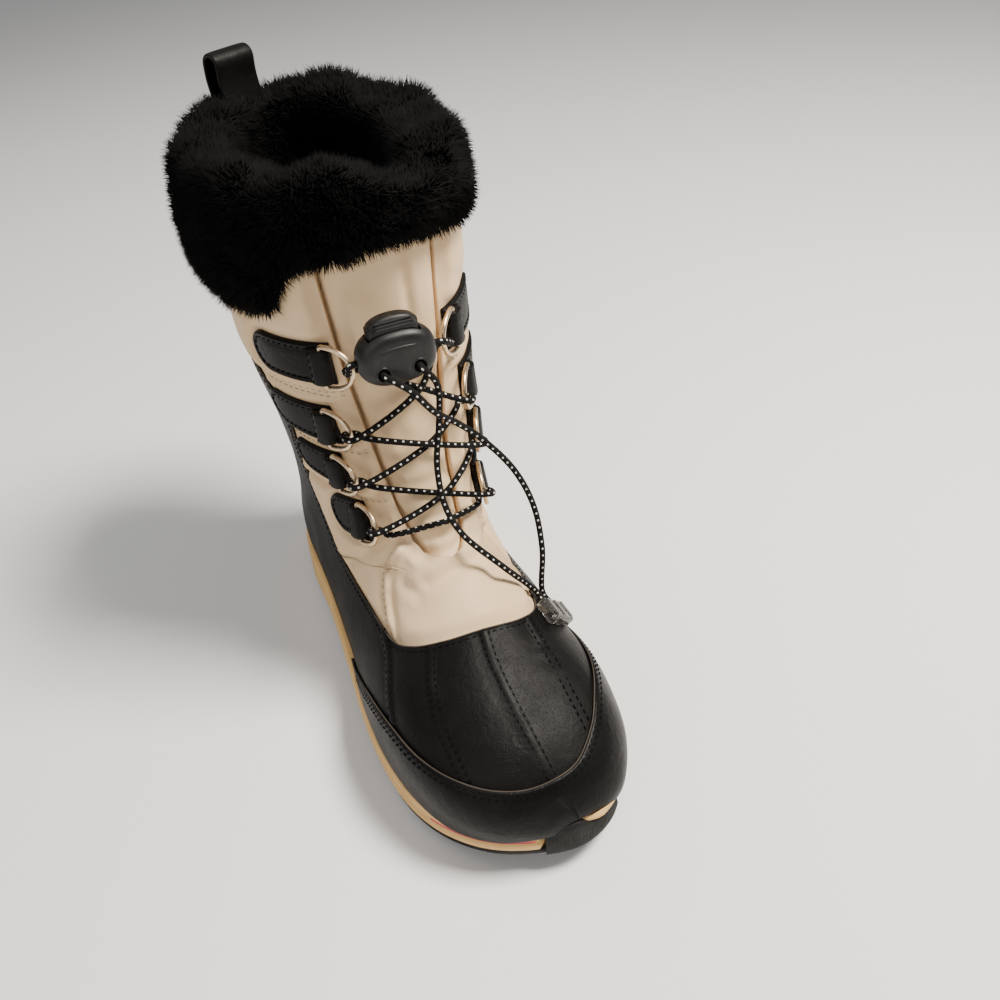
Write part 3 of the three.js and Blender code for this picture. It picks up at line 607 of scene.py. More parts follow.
def sweep_data(path, radius, sides, closed=False):
    """A round bar along a path, with how far along and around each point is."""
    path = np.asarray(path, float)
    if closed:
        along = unit(np.roll(path, -1, 0) - np.roll(path, 1, 0))
    else:
        along = unit(np.gradient(path, axis=0))
    normal = np.array([.1, .3, 1.])
    rings, uv = [], []
    far = 0
    for i, (centre, way) in enumerate(zip(path, along)):
        normal = unit(normal - way * np.dot(normal, way))
        across = np.cross(way, normal)
        far += np.linalg.norm(centre - path[i - 1]) if i else 0
        angle = np.arange(sides) / sides * 2 * np.pi
        r = radius[i] if np.ndim(radius) else radius
        rings.append(centre + r * np.cos(angle)[:, None] * normal
                     + r * np.sin(angle)[:, None] * across)
        uv += [(far, a / (2 * np.pi)) for a in angle]
    points, faces = loft_data(rings, closed)
    if not closed:
        uv += [uv[0], uv[-1]]
    return points, faces, uv


def block_data(m, size, bevel=.5, steps=3):
    """A box with rounded edges, centred on a frame."""
    work = bmesh.new()
    bmesh.ops.create_cube(work, size=1)
    for v in work.verts:
        v.co = Vector([c * s for c, s in zip(v.co, size)])
    bmesh.ops.bevel(work, geom=list(work.edges), offset=bevel, segments=steps, profile=.5,
                    affect="EDGES")
    points = moved(m, [v.co[:] for v in work.verts])
    faces = [tuple(v.index for v in f.verts) for f in work.faces]
    work.free()
    return points, faces


def evaluated(piece):
    """Turns a piece with modifiers into plain mesh."""
    depsgraph = bpy.context.evaluated_depsgraph_get()
    mesh = bpy.data.meshes.new_from_object(piece.evaluated_get(depsgraph))
    piece.modifiers.clear()
    mesh.name = piece.name
    piece.data = mesh
    return piece


def cut_by(piece, cutters):
    """Cuts solids out of a piece."""
    for points, faces in cutters:
        cutter = new_object("cutter", points, faces, piece.data.materials[0])
        step = piece.modifiers.new("cut", "BOOLEAN")
        step.operation = "DIFFERENCE"
        step.solver = "EXACT"
        step.object = cutter
        evaluated(piece)
        bpy.data.objects.remove(cutter)
    piece.data.shade_smooth()
    piece.data.set_sharp_from_angle(angle=math.radians(40))
    return piece


def finished(piece, slot, *nodes, body=BODY):
    """Attaches a piece to its body and hides the frame's nodes it stands for; slot is not used."""
    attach(piece, body)
    if nodes:
        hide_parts(*nodes)
    return piece


# ------------------------------------------------------------------ finishes

def add_node(tree, kind, inputs=(), **settings):
    """A node with its settings, and each input linked or set."""
    node = tree.nodes.new(kind)
    for key, value in settings.items():
        setattr(node, key, value)
    for key, value in dict(inputs).items():
        if isinstance(value, bpy.types.NodeSocket):
            tree.links.new(value, node.inputs[key])
        else:
            node.inputs[key].default_value = value
    return node


class Finish:
    """A procedural material and its nodes."""

    def __init__(self, name, **sockets):
        self.material = bpy.data.materials.new(name)
        self.material.use_nodes = True
        self.nodes = self.material.node_tree.nodes
        self.links = self.material.node_tree.links
        self.shader = self.nodes["Principled BSDF"]
        self.place = self.nodes.new("ShaderNodeTexCoord").outputs["Object"]
        for key, value in sockets.items():
            socket = self.shader.inputs[key.replace("_", " ")]
            socket.default_value = value

    def node(self, kind, inputs=(), **settings):
        return add_node(self.material.node_tree, kind, inputs, **settings)

    def noise(self, scale, detail=4., rough=.55, distortion=0., stretch=None):
        """A soft noise over the piece; stretch squeezes it along an axis."""
        place = self.place
        if stretch:
            place = self.node("ShaderNodeMapping", {"Vector": place, "Scale": stretch}).outputs[0]
        return self.node("ShaderNodeTexNoise", {
            "Vector": place, "Scale": scale, "Detail": detail, "Roughness": rough,
            "Distortion": distortion}).outputs["Fac"]

    def cells(self, scale, feature="F1"):
        return self.node("ShaderNodeTexVoronoi", {"Vector": self.place, "Scale": scale},
                         feature=feature).outputs["Distance"]

    def ramp(self, value, *stops):
        """A value turned into grey or colour by stops of a place and a level."""
        ramp = self.node("ShaderNodeValToRGB", {"Fac": value})
        elements = ramp.color_ramp.elements
        while len(elements) < len(stops):
            elements.new(.5)
        for element, (at, colour) in zip(elements, stops):
            element.position = at
            element.color = (*colour, 1) if np.ndim(colour) else (colour, colour, colour, 1)
        return ramp.outputs["Color"]

    def math(self, operation, a, b=0., c=0.):
        return self.node("ShaderNodeMath", {0: a, 1: b, 2: c}, operation=operation).outputs[0]

    def mix(self, amount, *colours):
        a, b = [c if isinstance(c, bpy.types.NodeSocket) else (*c, 1) for c in colours]
        return self.node("ShaderNodeMix", {0: amount, 6: a, 7: b}, data_type="RGBA").outputs[2]

    def colour(self, value):
        self.links.new(value, self.shader.inputs["Base Color"])

    def rough(self, value):
        self.links.new(value, self.shader.inputs["Roughness"])

    def bump(self, *layers):
        """Each layer is a height, its strength and its depth in metres."""
        normal = None
        for height, strength, depth in layers:
            bump = self.node("ShaderNodeBump",
                             {"Height": height, "Strength": strength, "Distance": depth})
            if normal:
                self.links.new(normal, bump.inputs["Normal"])
            normal = bump.outputs[0]
        self.links.new(normal, self.shader.inputs["Normal"])
        return self.material


def scaled(colour, *by):
    """A colour times one number, or times one number for each of its parts."""
    return tuple(min(c * k, 1) for c, k in zip(colour, by * 3 if len(by) == 1 else by))


def cloth_finish(colour):
    """Padded cloth with faint soil and fine creases."""
    f = Finish("padded_cloth", Sheen_Weight=.04, Sheen_Roughness=.5, Specular_IOR_Level=.2)
    grime = f.ramp(f.noise(14, 6, .6, .4), (.38, 0), (.72, 1))
    stain = f.ramp(f.noise(46, 5, .65, .8), (.55, 0), (.8, 1))
    base = f.mix(grime, colour, scaled(colour, .90, .84, .74))
    base = f.mix(f.math("MULTIPLY", stain, .35), base, scaled(colour, .84, .78, .68))
    scuff = f.ramp(f.noise(90, 3, .5, 0, (1, 1, .15)), (.68, 0), (.74, 1))
    f.colour(f.mix(f.math("MULTIPLY", scuff, .12), base, scaled(colour, .62)))
    f.rough(f.ramp(f.noise(30, 4), (.3, .50), (.7, .66)))
    crease = f.noise(55, 5, .55, 1.6, (1, 1, .55))
    grain = f.noise(1500, 2, .5)
    return f.bump((crease, .30, .0016), (grain, .16, .0002))


def leather_finish(name, colour, low, high, grain=1.):
    """Grained leather; low and high are its roughness."""
    f = Finish(name, Specular_IOR_Level=.13)
    patch = f.ramp(f.noise(38, 6, .6, .5), (.35, 0), (.7, 1))
    dust = f.ramp(f.noise(240, 4, .7), (.62, 0), (.78, 1))
    base = f.mix(patch, colour, scaled(colour, 1.7))
    f.colour(f.mix(f.math("MULTIPLY", dust, .12), base, (.030, .025, .021)))
    f.rough(f.ramp(f.noise(26, 5, .6, .3), (.3, low), (.72, high)))
    pores = f.ramp(f.cells(1350), (0, 0), (.32, 1))
    wrinkle = f.noise(130, 5, .6, 1.2)
    return f.bump((wrinkle, .42, .0009), (pores, .34 * grain, .00026))


def fur_finish(name, colour, light):
    """Matt hair, darker and lighter in patches."""
    f = Finish(name, Roughness=.72, Specular_IOR_Level=.09)
    patch = f.ramp(f.noise(70, 5, .6), (.35, 0), (.75, 1))
    f.colour(f.mix(patch, scaled(colour, .7), scaled(colour, light)))
    return f.bump((f.noise(900, 3), .5, .0006))


def fleece_finish(name, colour):
    """Short curled fleece, or felt."""
    f = Finish(name, Roughness=.95, Sheen_Weight=.1, Sheen_Roughness=.6, Specular_IOR_Level=.05)
    f.colour(f.mix(f.noise(160, 5, .6), scaled(colour, .7), scaled(colour, 1.7)))
    return f.bump((f.noise(320, 5, .7, 1.2), .9, .0016), (f.noise(1500, 4, .7), .7, .0005))


def thread_finish(name, colour):
    """Twisted sewing thread."""
    f = Finish(name, Roughness=.8, Specular_IOR_Level=.1)
    f.colour(f.mix(f.noise(600, 3), scaled(colour, .75), scaled(colour, 1.25)))
    return f.bump((f.noise(4200, 2), .4, .0001))


def cord_finish():
    """Braid with pale flecks in rows; the map's u is metres along and v turns around."""
    f = Finish("flecked_cord", Specular_IOR_Level=.12)
    uv = f.nodes.new("ShaderNodeUVMap").outputs[0]
    split = f.node("ShaderNodeSeparateXYZ", {0: uv})
    along = f.math("DIVIDE", split.outputs[0], FLECK_PITCH)
    around = f.math("MULTIPLY", split.outputs[1], 3.)
    lane = f.math("FLOOR", around)
    cell = f.math("FRACT", f.math("ADD", along, f.math("MULTIPLY", lane, .5)))
    across = f.math("FRACT", around)
    long_in = f.math("LESS_THAN", f.math("ABSOLUTE", f.math("SUBTRACT", cell, .5)), .13)
    side_in = f.math("LESS_THAN", f.math("ABSOLUTE", f.math("SUBTRACT", across, .5)), .14)
    fleck = f.math("MULTIPLY", long_in, side_in)
    black = f.mix(f.noise(900, 3), (.0030, .0028, .0028), (.0085, .0078, .0072))
    f.colour(f.mix(fleck, black, (.62, .60, .55)))
    f.rough(f.ramp(f.noise(700, 2), (.3, .6), (.7, .85)))
    lengthwise, round_it = [f.math("MULTIPLY", value, BRAID) for value in (along, around)]
    strands = [f.math("SINE", f.math(way, lengthwise, round_it)) for way in ("ADD", "SUBTRACT")]
    return f.bump((f.math("MULTIPLY", *strands), .5, .0003))


def metal_finish(colour):
    """Pale warm metal, a little worn."""
    f = Finish("pale_ring_metal", Metallic=1.)
    worn = f.ramp(f.noise(420, 5, .65), (.45, 0), (.72, 1))
    f.colour(f.mix(worn, colour, scaled(colour, .62)))
    f.rough(f.ramp(f.noise(260, 5), (.3, .22), (.75, .42)))
    return f.bump((f.noise(1200, 3), .12, .0001))


def plastic_finish():
    """Moulded plastic with faint rubs."""
    f = Finish("lock_plastic", Specular_IOR_Level=.34)
    rub = f.ramp(f.noise(170, 5, .6, .6), (.5, 0), (.8, 1))
    f.colour(f.mix(rub, (.0052, .005, .005), (.014, .013, .012)))
    f.rough(f.ramp(f.noise(120, 5), (.3, .36), (.7, .56)))
    return f.bump((f.noise(2600, 2), .22, .0001))


def clear_finish():
    """Clear plastic, a little clouded."""
    f = Finish("clear_plastic", Transmission_Weight=.9, IOR=1.44)
    f.colour(f.mix(f.ramp(f.noise(120, 3, .5), (.4, 0), (.75, 1)), (.40, .385, .36), (.17, .16, .15)))
    f.rough(f.ramp(f.noise(150, 3, .5, .4), (.35, .06), (.7, .24)))
    return f.bump((f.noise(190, 3, .5, 1.), .25, .0004))


def foam_finish(colour, line):
    """Foam, with a coloured line in the groove; the map's u marks where the line is."""
    f = Finish("foam_sole", Specular_IOR_Level=.3)
    uv = f.nodes.new("ShaderNodeUVMap").outputs[0]
    mark = f.node("ShaderNodeSeparateXYZ", {0: uv}).outputs[0]
    dirt = f.ramp(f.noise(34, 6, .65, .6), (.4, 0), (.75, 1))
    speck = f.ramp(f.noise(420, 4, .7), (.63, 0), (.74, 1))
    base = f.mix(dirt, colour, scaled(colour, .86, .80, .72))
    base = f.mix(f.math("MULTIPLY", speck, .4), base, scaled(colour, .35))
    f.colour(f.mix(f.ramp(mark, (.45, 0), (.55, 1)), base, line))
    f.rough(f.ramp(f.noise(60, 4), (.3, .55), (.7, .75)))
    return f.bump((f.noise(260, 5), .25, .0004), (f.noise(1500, 2), .2, .00015))


def rubber_finish():
    """Tread rubber with dust in it."""
    f = Finish("tread_rubber", Specular_IOR_Level=.2)
    dust = f.ramp(f.noise(120, 6, .7, .5), (.45, 0), (.8, 1))
    f.colour(f.mix(f.math("MULTIPLY", dust, .6), (.006, .0056, .0055), (.028, .025, .021)))
    f.rough(f.ramp(f.noise(70, 5), (.3, .5), (.7, .78)))
    return f.bump((f.noise(420, 5, .6), .3, .0004), (f.cells(1100), .15, .0002))


def floor_finish():
    """Pale matt floor."""
    f = Finish("pale_floor", Specular_IOR_Level=.2)
    f.colour(f.mix(f.noise(2.5, 3), (.86, .855, .845), (.89, .885, .88)))
    f.rough(f.ramp(f.noise(9, 3), (.3, .75), (.7, .85)))
    return f.bump((f.noise(300, 3), .05, .0005))


LOOKS = {}


def make_looks(colours):
    """All finishes, by the name that pieces use."""
    leather = tuple(colours.leather)
    fur = tuple(colours.fur)
    LOOKS.update(
        cloth=cloth_finish(tuple(colours.cloth)),
        leather=leather_finish("cap_leather", leather, .40, .58),
        gloss=leather_finish("rand_leather", scaled(leather, .9), .30, .48, .8),
        tab=leather_finish("tab_leather", leather, .38, .56, .8),
        edge=leather_finish("cut_leather_edge", (.042, .034, .027), .6, .8, .5),
        fur=fur_finish("fur_pile", fur, 1.9),
        skin=fur_finish("fur_backing", scaled(fur, .6), 1.6),
        fleece=fleece_finish("fleece_lining", (.005, .0046, .0045)),
        felt=fleece_finish("footbed_felt", (.012, .011, .010)),
        dark_thread=thread_finish("dark_thread", (.0022, .002, .002)),
        pale_thread=thread_finish("pale_thread", (.50, .40, .27)),
        cord=cord_finish(),
        metal=metal_finish(tuple(colours.metal)),
        plastic=plastic_finish(),
        clear=clear_finish(),
        foam=foam_finish(tuple(colours.foam), tuple(colours.line)),
        rubber=rubber_finish(),
        floor=floor_finish(),
    )


# ------------------------------------------------------------------ repeated shapes by node trees

def new_tree(name, *inputs):
    """A node tree with geometry in and out and named inputs."""
    tree = bpy.data.node_groups.new(name, "GeometryNodeTree")
    tree.interface.new_socket("Geometry", in_out="INPUT", socket_type="NodeSocketGeometry")
    for label, kind, value in inputs:
        socket = tree.interface.new_socket(label, in_out="INPUT", socket_type=kind)
        if value is not None:
            socket.default_value = value
    tree.interface.new_socket("Geometry", in_out="OUTPUT", socket_type="NodeSocketGeometry")
    return tree


def end_tree(tree, instances, look):
    """Realizes the instances, gives them their material and ends the tree."""
    real = add_node(tree, "GeometryNodeRealizeInstances", {0: instances})
    done = add_node(tree, "GeometryNodeSetMaterial", {"Geometry": real.outputs[0], "Material": look})
    add_node(tree, "NodeGroupOutput", {0: done.outputs[0]})
    return tree


def stitch_tree():
    """Small rounded stitches along the input's edges."""
    tree = new_tree("Stitch Row", ("Pitch", "NodeSocketFloat", .003),
                    ("Length", "NodeSocketFloat", .002), ("Thickness", "NodeSocketFloat", .0007),
                    ("Thread", "NodeSocketMaterial", None))
    given = tree.nodes.new("NodeGroupInput").outputs
    path = add_node(tree, "GeometryNodeMeshToCurve", {"Mesh": given["Geometry"]})
    spots = add_node(tree, "GeometryNodeCurveToPoints",
                     {"Curve": path.outputs[0], "Length": given["Pitch"]}, mode="LENGTH")
    turn = add_node(tree, "FunctionNodeAlignRotationToVector", {"Vector": spots.outputs["Tangent"]},
                    axis="Z")
    bead = add_node(tree, "GeometryNodeMeshUVSphere", {"Segments": 6, "Rings": 4, "Radius": .5})
    size = add_node(tree, "ShaderNodeCombineXYZ", {0: given["Thickness"], 1: given["Thickness"],
                                                  2: given["Length"]})
    copies = add_node(tree, "GeometryNodeInstanceOnPoints", {
        "Points": spots.outputs["Points"], "Instance": bead.outputs["Mesh"],
        "Rotation": turn.outputs[0], "Scale": size.outputs[0]})
    return end_tree(tree, copies.outputs[0], given["Thread"])


def pile_tree():
    """Tapered hairs standing on the input's faces, combed by a soft uneven direction."""
    tree = new_tree("Fur Pile", ("Density", "NodeSocketFloat", 2e6), ("Length", "NodeSocketFloat", .009),
                    ("Thickness", "NodeSocketFloat", .0003), ("Seed", "NodeSocketInt", 7),
                    ("Hair", "NodeSocketMaterial", None))
    given = tree.nodes.new("NodeGroupInput").outputs
    spots = add_node(tree, "GeometryNodeDistributePointsOnFaces", {
        "Mesh": given["Geometry"], "Density": given["Density"], "Seed": given["Seed"]},
        distribute_method="RANDOM")
    place = add_node(tree, "GeometryNodeInputPosition").outputs[0]
    comb = add_node(tree, "ShaderNodeTexNoise", {"Vector": place, "Scale": 105., "Detail": 3.,
                                                 "Roughness": .6})
    comb = add_node(tree, "ShaderNodeVectorMath", {0: comb.outputs["Color"], 1: (.5, .5, .5)},
                    operation="SUBTRACT")
    comb = add_node(tree, "ShaderNodeVectorMath", {0: comb.outputs[0], "Scale": 3.6}, operation="SCALE")
    stray = add_node(tree, "FunctionNodeRandomValue", {0: (-.42, -.42, -.42), 1: (.42, .42, .42),
                                                       "Seed": given["Seed"]}, data_type="FLOAT_VECTOR")
    way = spots.outputs["Normal"]
    for lean in (comb.outputs[0], stray.outputs[0], HAIR_DROOP):
        way = add_node(tree, "ShaderNodeVectorMath", {0: way, 1: lean}, operation="ADD").outputs[0]
    turn = add_node(tree, "FunctionNodeAlignRotationToVector", {"Vector": way}, axis="Z")
    hair = add_node(tree, "GeometryNodeMeshCone", {
        "Vertices": 3, "Side Segments": 1, "Fill Segments": 1, "Radius Top": 0.,
        "Radius Bottom": given["Thickness"], "Depth": given["Length"]}, fill_type="NGON")
    size = add_node(tree, "FunctionNodeRandomValue", {2: .55, 3: 1.12, "Seed": given["Seed"]},
                    data_type="FLOAT")
    copies = add_node(tree, "GeometryNodeInstanceOnPoints", {
        "Points": spots.outputs["Points"], "Instance": hair.outputs["Mesh"],
        "Rotation": turn.outputs[0], "Scale": size.outputs[1]})
    return end_tree(tree, copies.outputs[0], given["Hair"])


def grown(piece, tree, **values):
    """Runs a node tree on a piece and keeps the result as plain mesh."""
    step = piece.modifiers.new(tree.name, "NODES")
    step.node_group = tree
    for item in tree.interface.items_tree:
        key = item.name.lower()
        if item.item_type == "SOCKET" and item.in_out == "INPUT" and key in values:
            step[item.identifier] = values[key]
    return evaluated(piece)


def stitches(name, lines, thread, slot, sizes, body=BODY):
    """Rows of stitches along lines of points."""
    tree = bpy.data.node_groups.get("Stitch Row") or stitch_tree()
    points = np.vstack(lines)
    edges, start = [], 0
    for line in lines:
        edges += [(start + k, start + k + 1) for k in range(len(line) - 1)]
        start += len(line)
    mesh = bpy.data.meshes.new(name)
    mesh.from_pydata(((points + ORIGIN) / 1000).tolist(), edges, [])
    piece = bpy.data.objects.new(name, mesh)
    bpy.context.scene.collection.objects.link(piece)
    grown(piece, tree, pitch=sizes.stitch_pitch, length=sizes.stitch, thickness=sizes.thread,
          thread=thread)
    piece.data.shade_smooth()
    return finished(piece, slot, body=body)


# ------------------------------------------------------------------ where things lie on the boot

def heel_row():
    """The first section that reaches down to the sole at the back."""
    def reached(u):
        p = last_point(u, math.pi)
        return p[..., 2] < sole_top(p[..., 1]) - 1.5
    return float(bisect(reached, np.float64(5), np.float64(6)))


def cream_edge(count):
    """Places and turns along the cloth's edge to the leather."""
    places = through(CREAM_EDGE, count)
    return places[:, 0], places[:, 1]


def on_leather(u, turn):
    """Whether places lie on the black side of the cloth's edge."""
    edge = np.vstack([np.stack(cream_edge(241), -1), [[16, 180], [16, -180]]])
    return inside(u, np.clip(np.degrees(turn), -179.9, 179.9), edge)


def cloth_height(u, turn, puff):
    """How far the padded cloth stands out from the last."""
    points = last_point(u, turn)
    eu, et = cream_edge(300)
    away = distance(points, last_point(eu, np.radians(et)))
    soft = np.where(on_leather(u, turn), 0, smooth(0, 7, away)) * smooth(.12, .55, u)
    height = puff * soft
    for row in QUILT_ROWS:
        height -= 1.1 * puff * soft * np.exp(-(np.abs(u - row) * ROW_DROP / 3.2) ** 2)
    for side in (-1, 1):
        rows = np.linspace(0, 5.3, 90)
        throat = last_point(rows, throat_turn(rows, side))
        from_throat = distance(points, throat)
        height += 1.1 * smooth(2, 8, from_throat) * (1 - smooth(9, 20, from_throat)) * soft
        height -= height * (1 - smooth(0, 6.5, from_throat))
        piping = line_on_last(VAMP_PIPING[side], 60)
        ridge = 3.4 * nearness(points, piping, 1.9) - 3.1 * nearness(points, piping, 5)
        height += ridge * smooth(0, 3, away)
    for controls, depth, width in CLOTH_FOLDS:
        height -= depth * soft * nearness(points, line_on_last(controls, 40), width)
    height += .55 * soft * waves(points, 11, 1.)
    for row in LACING:
        for side in (-1, 1):
            ahead = np.linspace(-row[2] + row[3], 0, 16)
            beneath = last_point(*walk(row[0], side * math.radians(row[1]), ahead, 0))
            free = smooth(row[3] + .3, row[3] + 5, distance(points, beneath))
            height = np.where(height > .2, .2 + (height - .2) * free, height)
    return height


def beside(u, turn, aside, out):
    """A line over the last, moved sideways over it and out from it."""
    point, _, _, normal = last_axes(u, turn)
    along = unit(np.gradient(point, axis=0))
    return point + np.cross(normal, along) * aside + normal * out


def panel_places(edge, below, count, rows):
    """Places of a leather panel between an edge line and the sole."""
    edge = through(edge, count)
    low_u = np.clip(through(np.array(below, float)[:, None], count)[:, 0], heel_row(), PANEL_END)
    side = np.where(np.arange(count) < count / 2, -1, 1)
    low_turn = np.where(side < 0, sole_turn(low_u, -1), sole_turn(low_u, 1))
    low_turn = low_turn * (1 - smooth(PANEL_END - .6, PANEL_END, low_u))
    t = (np.linspace(0, 1, rows) ** 1.25)[:, None]
    return edge[:, 0] * (1 - t) + low_u * t, np.radians(edge[:, 1]) * (1 - t) + low_turn * t, t


def panel(name, edge, below, count, rows, low, high, look, ridges=()):
    """A leather panel from its edge down to the sole, raised along its seams."""
    u, turn, t = panel_places(edge, below, count, rows)
    round_edge = np.sqrt(np.clip(1 - (1 - t * EDGE_ROUND) ** 2 * (t < 1 / EDGE_ROUND), 0, 1))
    points = last_point(u, turn)
    top = low + (high - low) * (.55 + .45 * round_edge) + .2 * waves(points, 7, 2.)
    for controls in ridges:
        seam = line_on_last(controls, 50)
        top += 1.15 * nearness(points, seam, 1.7) - .5 * nearness(points, seam, 4.5)
    return new_object(name, *shell_data(on_last(u, turn, top), layer(u, turn, low)), look)


# ------------------------------------------------------------------ pieces

def upper_cloth(sizes):
    """The padded outer cloth as one shell, open at the collar, the throat and underneath."""
    puff = sizes.quilt_puff * 1000
    u = np.concatenate([np.linspace(0, 5.6, 96), np.linspace(5.64, 6.4, 22),
                        np.linspace(6.46, 13.94, 84)])
    s = np.linspace(0, 1, 98)
    parts = []
    for side in (-1, 1):
        sole, throat = sole_turn(u, side)[:, None], throat_turn(u, side)[:, None]
        turn = throat + (sole - throat) * (s ** 1.35)
        rows = np.broadcast_to(u[:, None], turn.shape)
        outer = on_last(rows, turn, cloth_height(rows, turn, puff))
        parts.append(shell_data(outer, layer(rows, turn, -WALL)))
    return finished(new_object("upper_cloth", *joined(parts), LOOKS["cloth"]), "cream_cloth", "upper")


def tongue_cloth():
    """The padded tongue between the two quarters."""
    u = np.linspace(0, 6.2, 142)
    open_u = np.minimum(u, 5.8)
    left, right = throat_turn(open_u, -1, 4.5)[:, None], throat_turn(open_u, 1, 4.5)[:, None]
    s = np.linspace(0, 1, 84)
    s = .5 - .5 * np.cos(np.pi * s)
    turn = left + (right - left) * s
    rows = np.broadcast_to(u[:, None], turn.shape)
    points, _, around, _ = last_axes(rows, turn)
    inner = np.minimum(np.abs(turn - left), np.abs(right - turn)) * np.linalg.norm(around, axis=-1) - 4.5
    inner = np.minimum(inner, points[..., 2] - THROAT[0, 0] - 1.5)
    height = -4.2 + 4.0 * smooth(.4, 4.6, inner) + 3.7 * smooth(2, 11, inner)
    on_top = smooth(0, 4, inner)
    for controls, depth, width in TONGUE_FOLDS:
        height -= depth * on_top * nearness(points, line_on_last(controls, 40), width)
    height += .45 * on_top * waves(points, 9, 3.)
    sheet = shell_data(on_last(rows, turn, height), layer(rows, turn, TONGUE_BACK))
    return finished(new_object("tongue_cloth", *sheet, LOOKS["cloth"]), "cream_cloth", "tongue")


def fleece_lining():
    """The fleece that shows inside the shaft and the foot."""
    u = np.linspace(.5, 12.5, 90)
    low, high = sole_turn(u, -1, 5)[:, None], sole_turn(u, 1, 5)[:, None]
    turn = low + (high - low) * np.linspace(0, 1, 90)
    rows = np.broadcast_to(u[:, None], turn.shape)
    back = on_last(rows, turn, LINING_BACK + .3 * waves(last_point(rows, turn), 4, 1.))
    sheet = shell_data(back, layer(rows, turn, LINING_FACE))
    return finished(new_object("fleece_lining", *sheet, LOOKS["fleece"]), "black_fur")


def footbed():
    """The felt footbed that lies on the midsole."""
    u = np.linspace(heel_row() + .12, 13.3, 90)
    left, right = [layer(u, sole_turn(u, side, 2), FOOTBED_IN) for side in (-1, 1)]
    s = np.linspace(0, 1, 26)[None, :, None]
    flat = left[:, None] * (1 - s) + right[:, None] * s
    base = sole_top(flat[..., 1]) + GAP
    edge = 1 - np.abs(2 * s[..., 0] - 1) ** 8
    upper, lower = flat.copy(), flat.copy()
    upper[..., 2] = base + 3 + edge + .25 * waves(flat, 5, 2.)
    lower[..., 2] = base
    piece = new_object("footbed", *shell_data(upper, lower), LOOKS["felt"])
    return finished(piece, "footbed_felt", "insole")


def leather_panels(sizes):
    """The black toe cap and counter, the glossy rand over the toe, and their raw edges."""
    thick = sizes.leather * 1000
    cap = panel("cap_and_counter", CREAM_EDGE, CREAM_EDGE_BELOW, 361, 74, CAP_LOW, CAP_LOW + thick,
                LOOKS["leather"], CAP_SEAMS)
    finished(cap, "black_leather")
    rand = panel("toe_rand", RAND_EDGE, RAND_EDGE_BELOW, 181, 26, .2 + thick, .4 + 2 * thick,
                 LOOKS["gloss"])
    finished(rand, "black_leather")
    for name, edge, out, count in (("cap_raw_edge", CREAM_EDGE, .1 + .8 * thick, 420),
                                   ("rand_raw_edge", RAND_EDGE, .1 + 1.8 * thick, 240)):
        points, faces, _ = sweep_data(line_on_last(edge, count, out * np.ones(count)), .36, 6)
        finished(new_object(name, points, faces, LOOKS["edge"]), "black_leather")


def seam_rows(sizes):
    """All sewn rows: black on the leather, pale on the cloth."""
    thick = sizes.leather * 1000
    dark, pale = [], []
    u, turn = cream_edge(300)
    dark.append(beside(u, np.radians(turn), -2.2, .15 + thick))
    places = through(RAND_EDGE, 240)
    for aside in (1.6, 3.6):
        dark.append(beside(places[8:-8, 0], np.radians(places[8:-8, 1]), -aside, .45 + 2 * thick))
    for controls in CAP_SEAMS:
        places = through(controls, 60)[3:-2]
        for aside in (-1.8, 1.8):
            dark.append(beside(places[:, 0], np.radians(places[:, 1]), aside, .15 + thick))
    puff = sizes.quilt_puff * 1000
    for row in QUILT_ROWS:
        for side in (-1, 1):
            for lift in (-1.2, 1.2):
                u = np.full(80, row + lift / ROW_DROP)
                start = throat_turn(u[:1], side)[0]
                turn = np.linspace(start + side * .07, side * math.radians(70 if row < 2.3 else 74), 80)
                pale.append(on_last(u, turn, cloth_height(u, turn, puff) + .05))
    for side in (-1, 1):
        places = through(VAMP_PIPING[side], 60)
        u, turn = places[4:-4, 0], np.radians(places[4:-4, 1])
        height = cloth_height(u, turn, puff)
        pale.append(beside(u, turn, side * 2.6, .1) + (last_axes(u, turn)[3] * (height - 1.2)[:, None]))
    stitches("leather_stitches", dark, LOOKS["dark_thread"], "black_leather", sizes)
    stitches("cloth_stitches", pale, LOOKS["pale_thread"], "cream_cloth", sizes)


def cuff_rows(turn):
    """The collar's sizes at any turn, between its rows."""
    degrees = (np.degrees(turn) + 180) % 360 - 180
    n = len(CUFF)
    i = np.searchsorted(CUFF[:, 0], degrees, side="right") - 1
    span = (CUFF[(i + 1) % n, 0] - CUFF[i, 0] + 360) % 360
    t = ((degrees - CUFF[i, 0]) / span)[:, None]
    return catmull_rom(*[CUFF[(i + k) % n] for k in (-1, 0, 1, 2)], t)[:, 1:].T


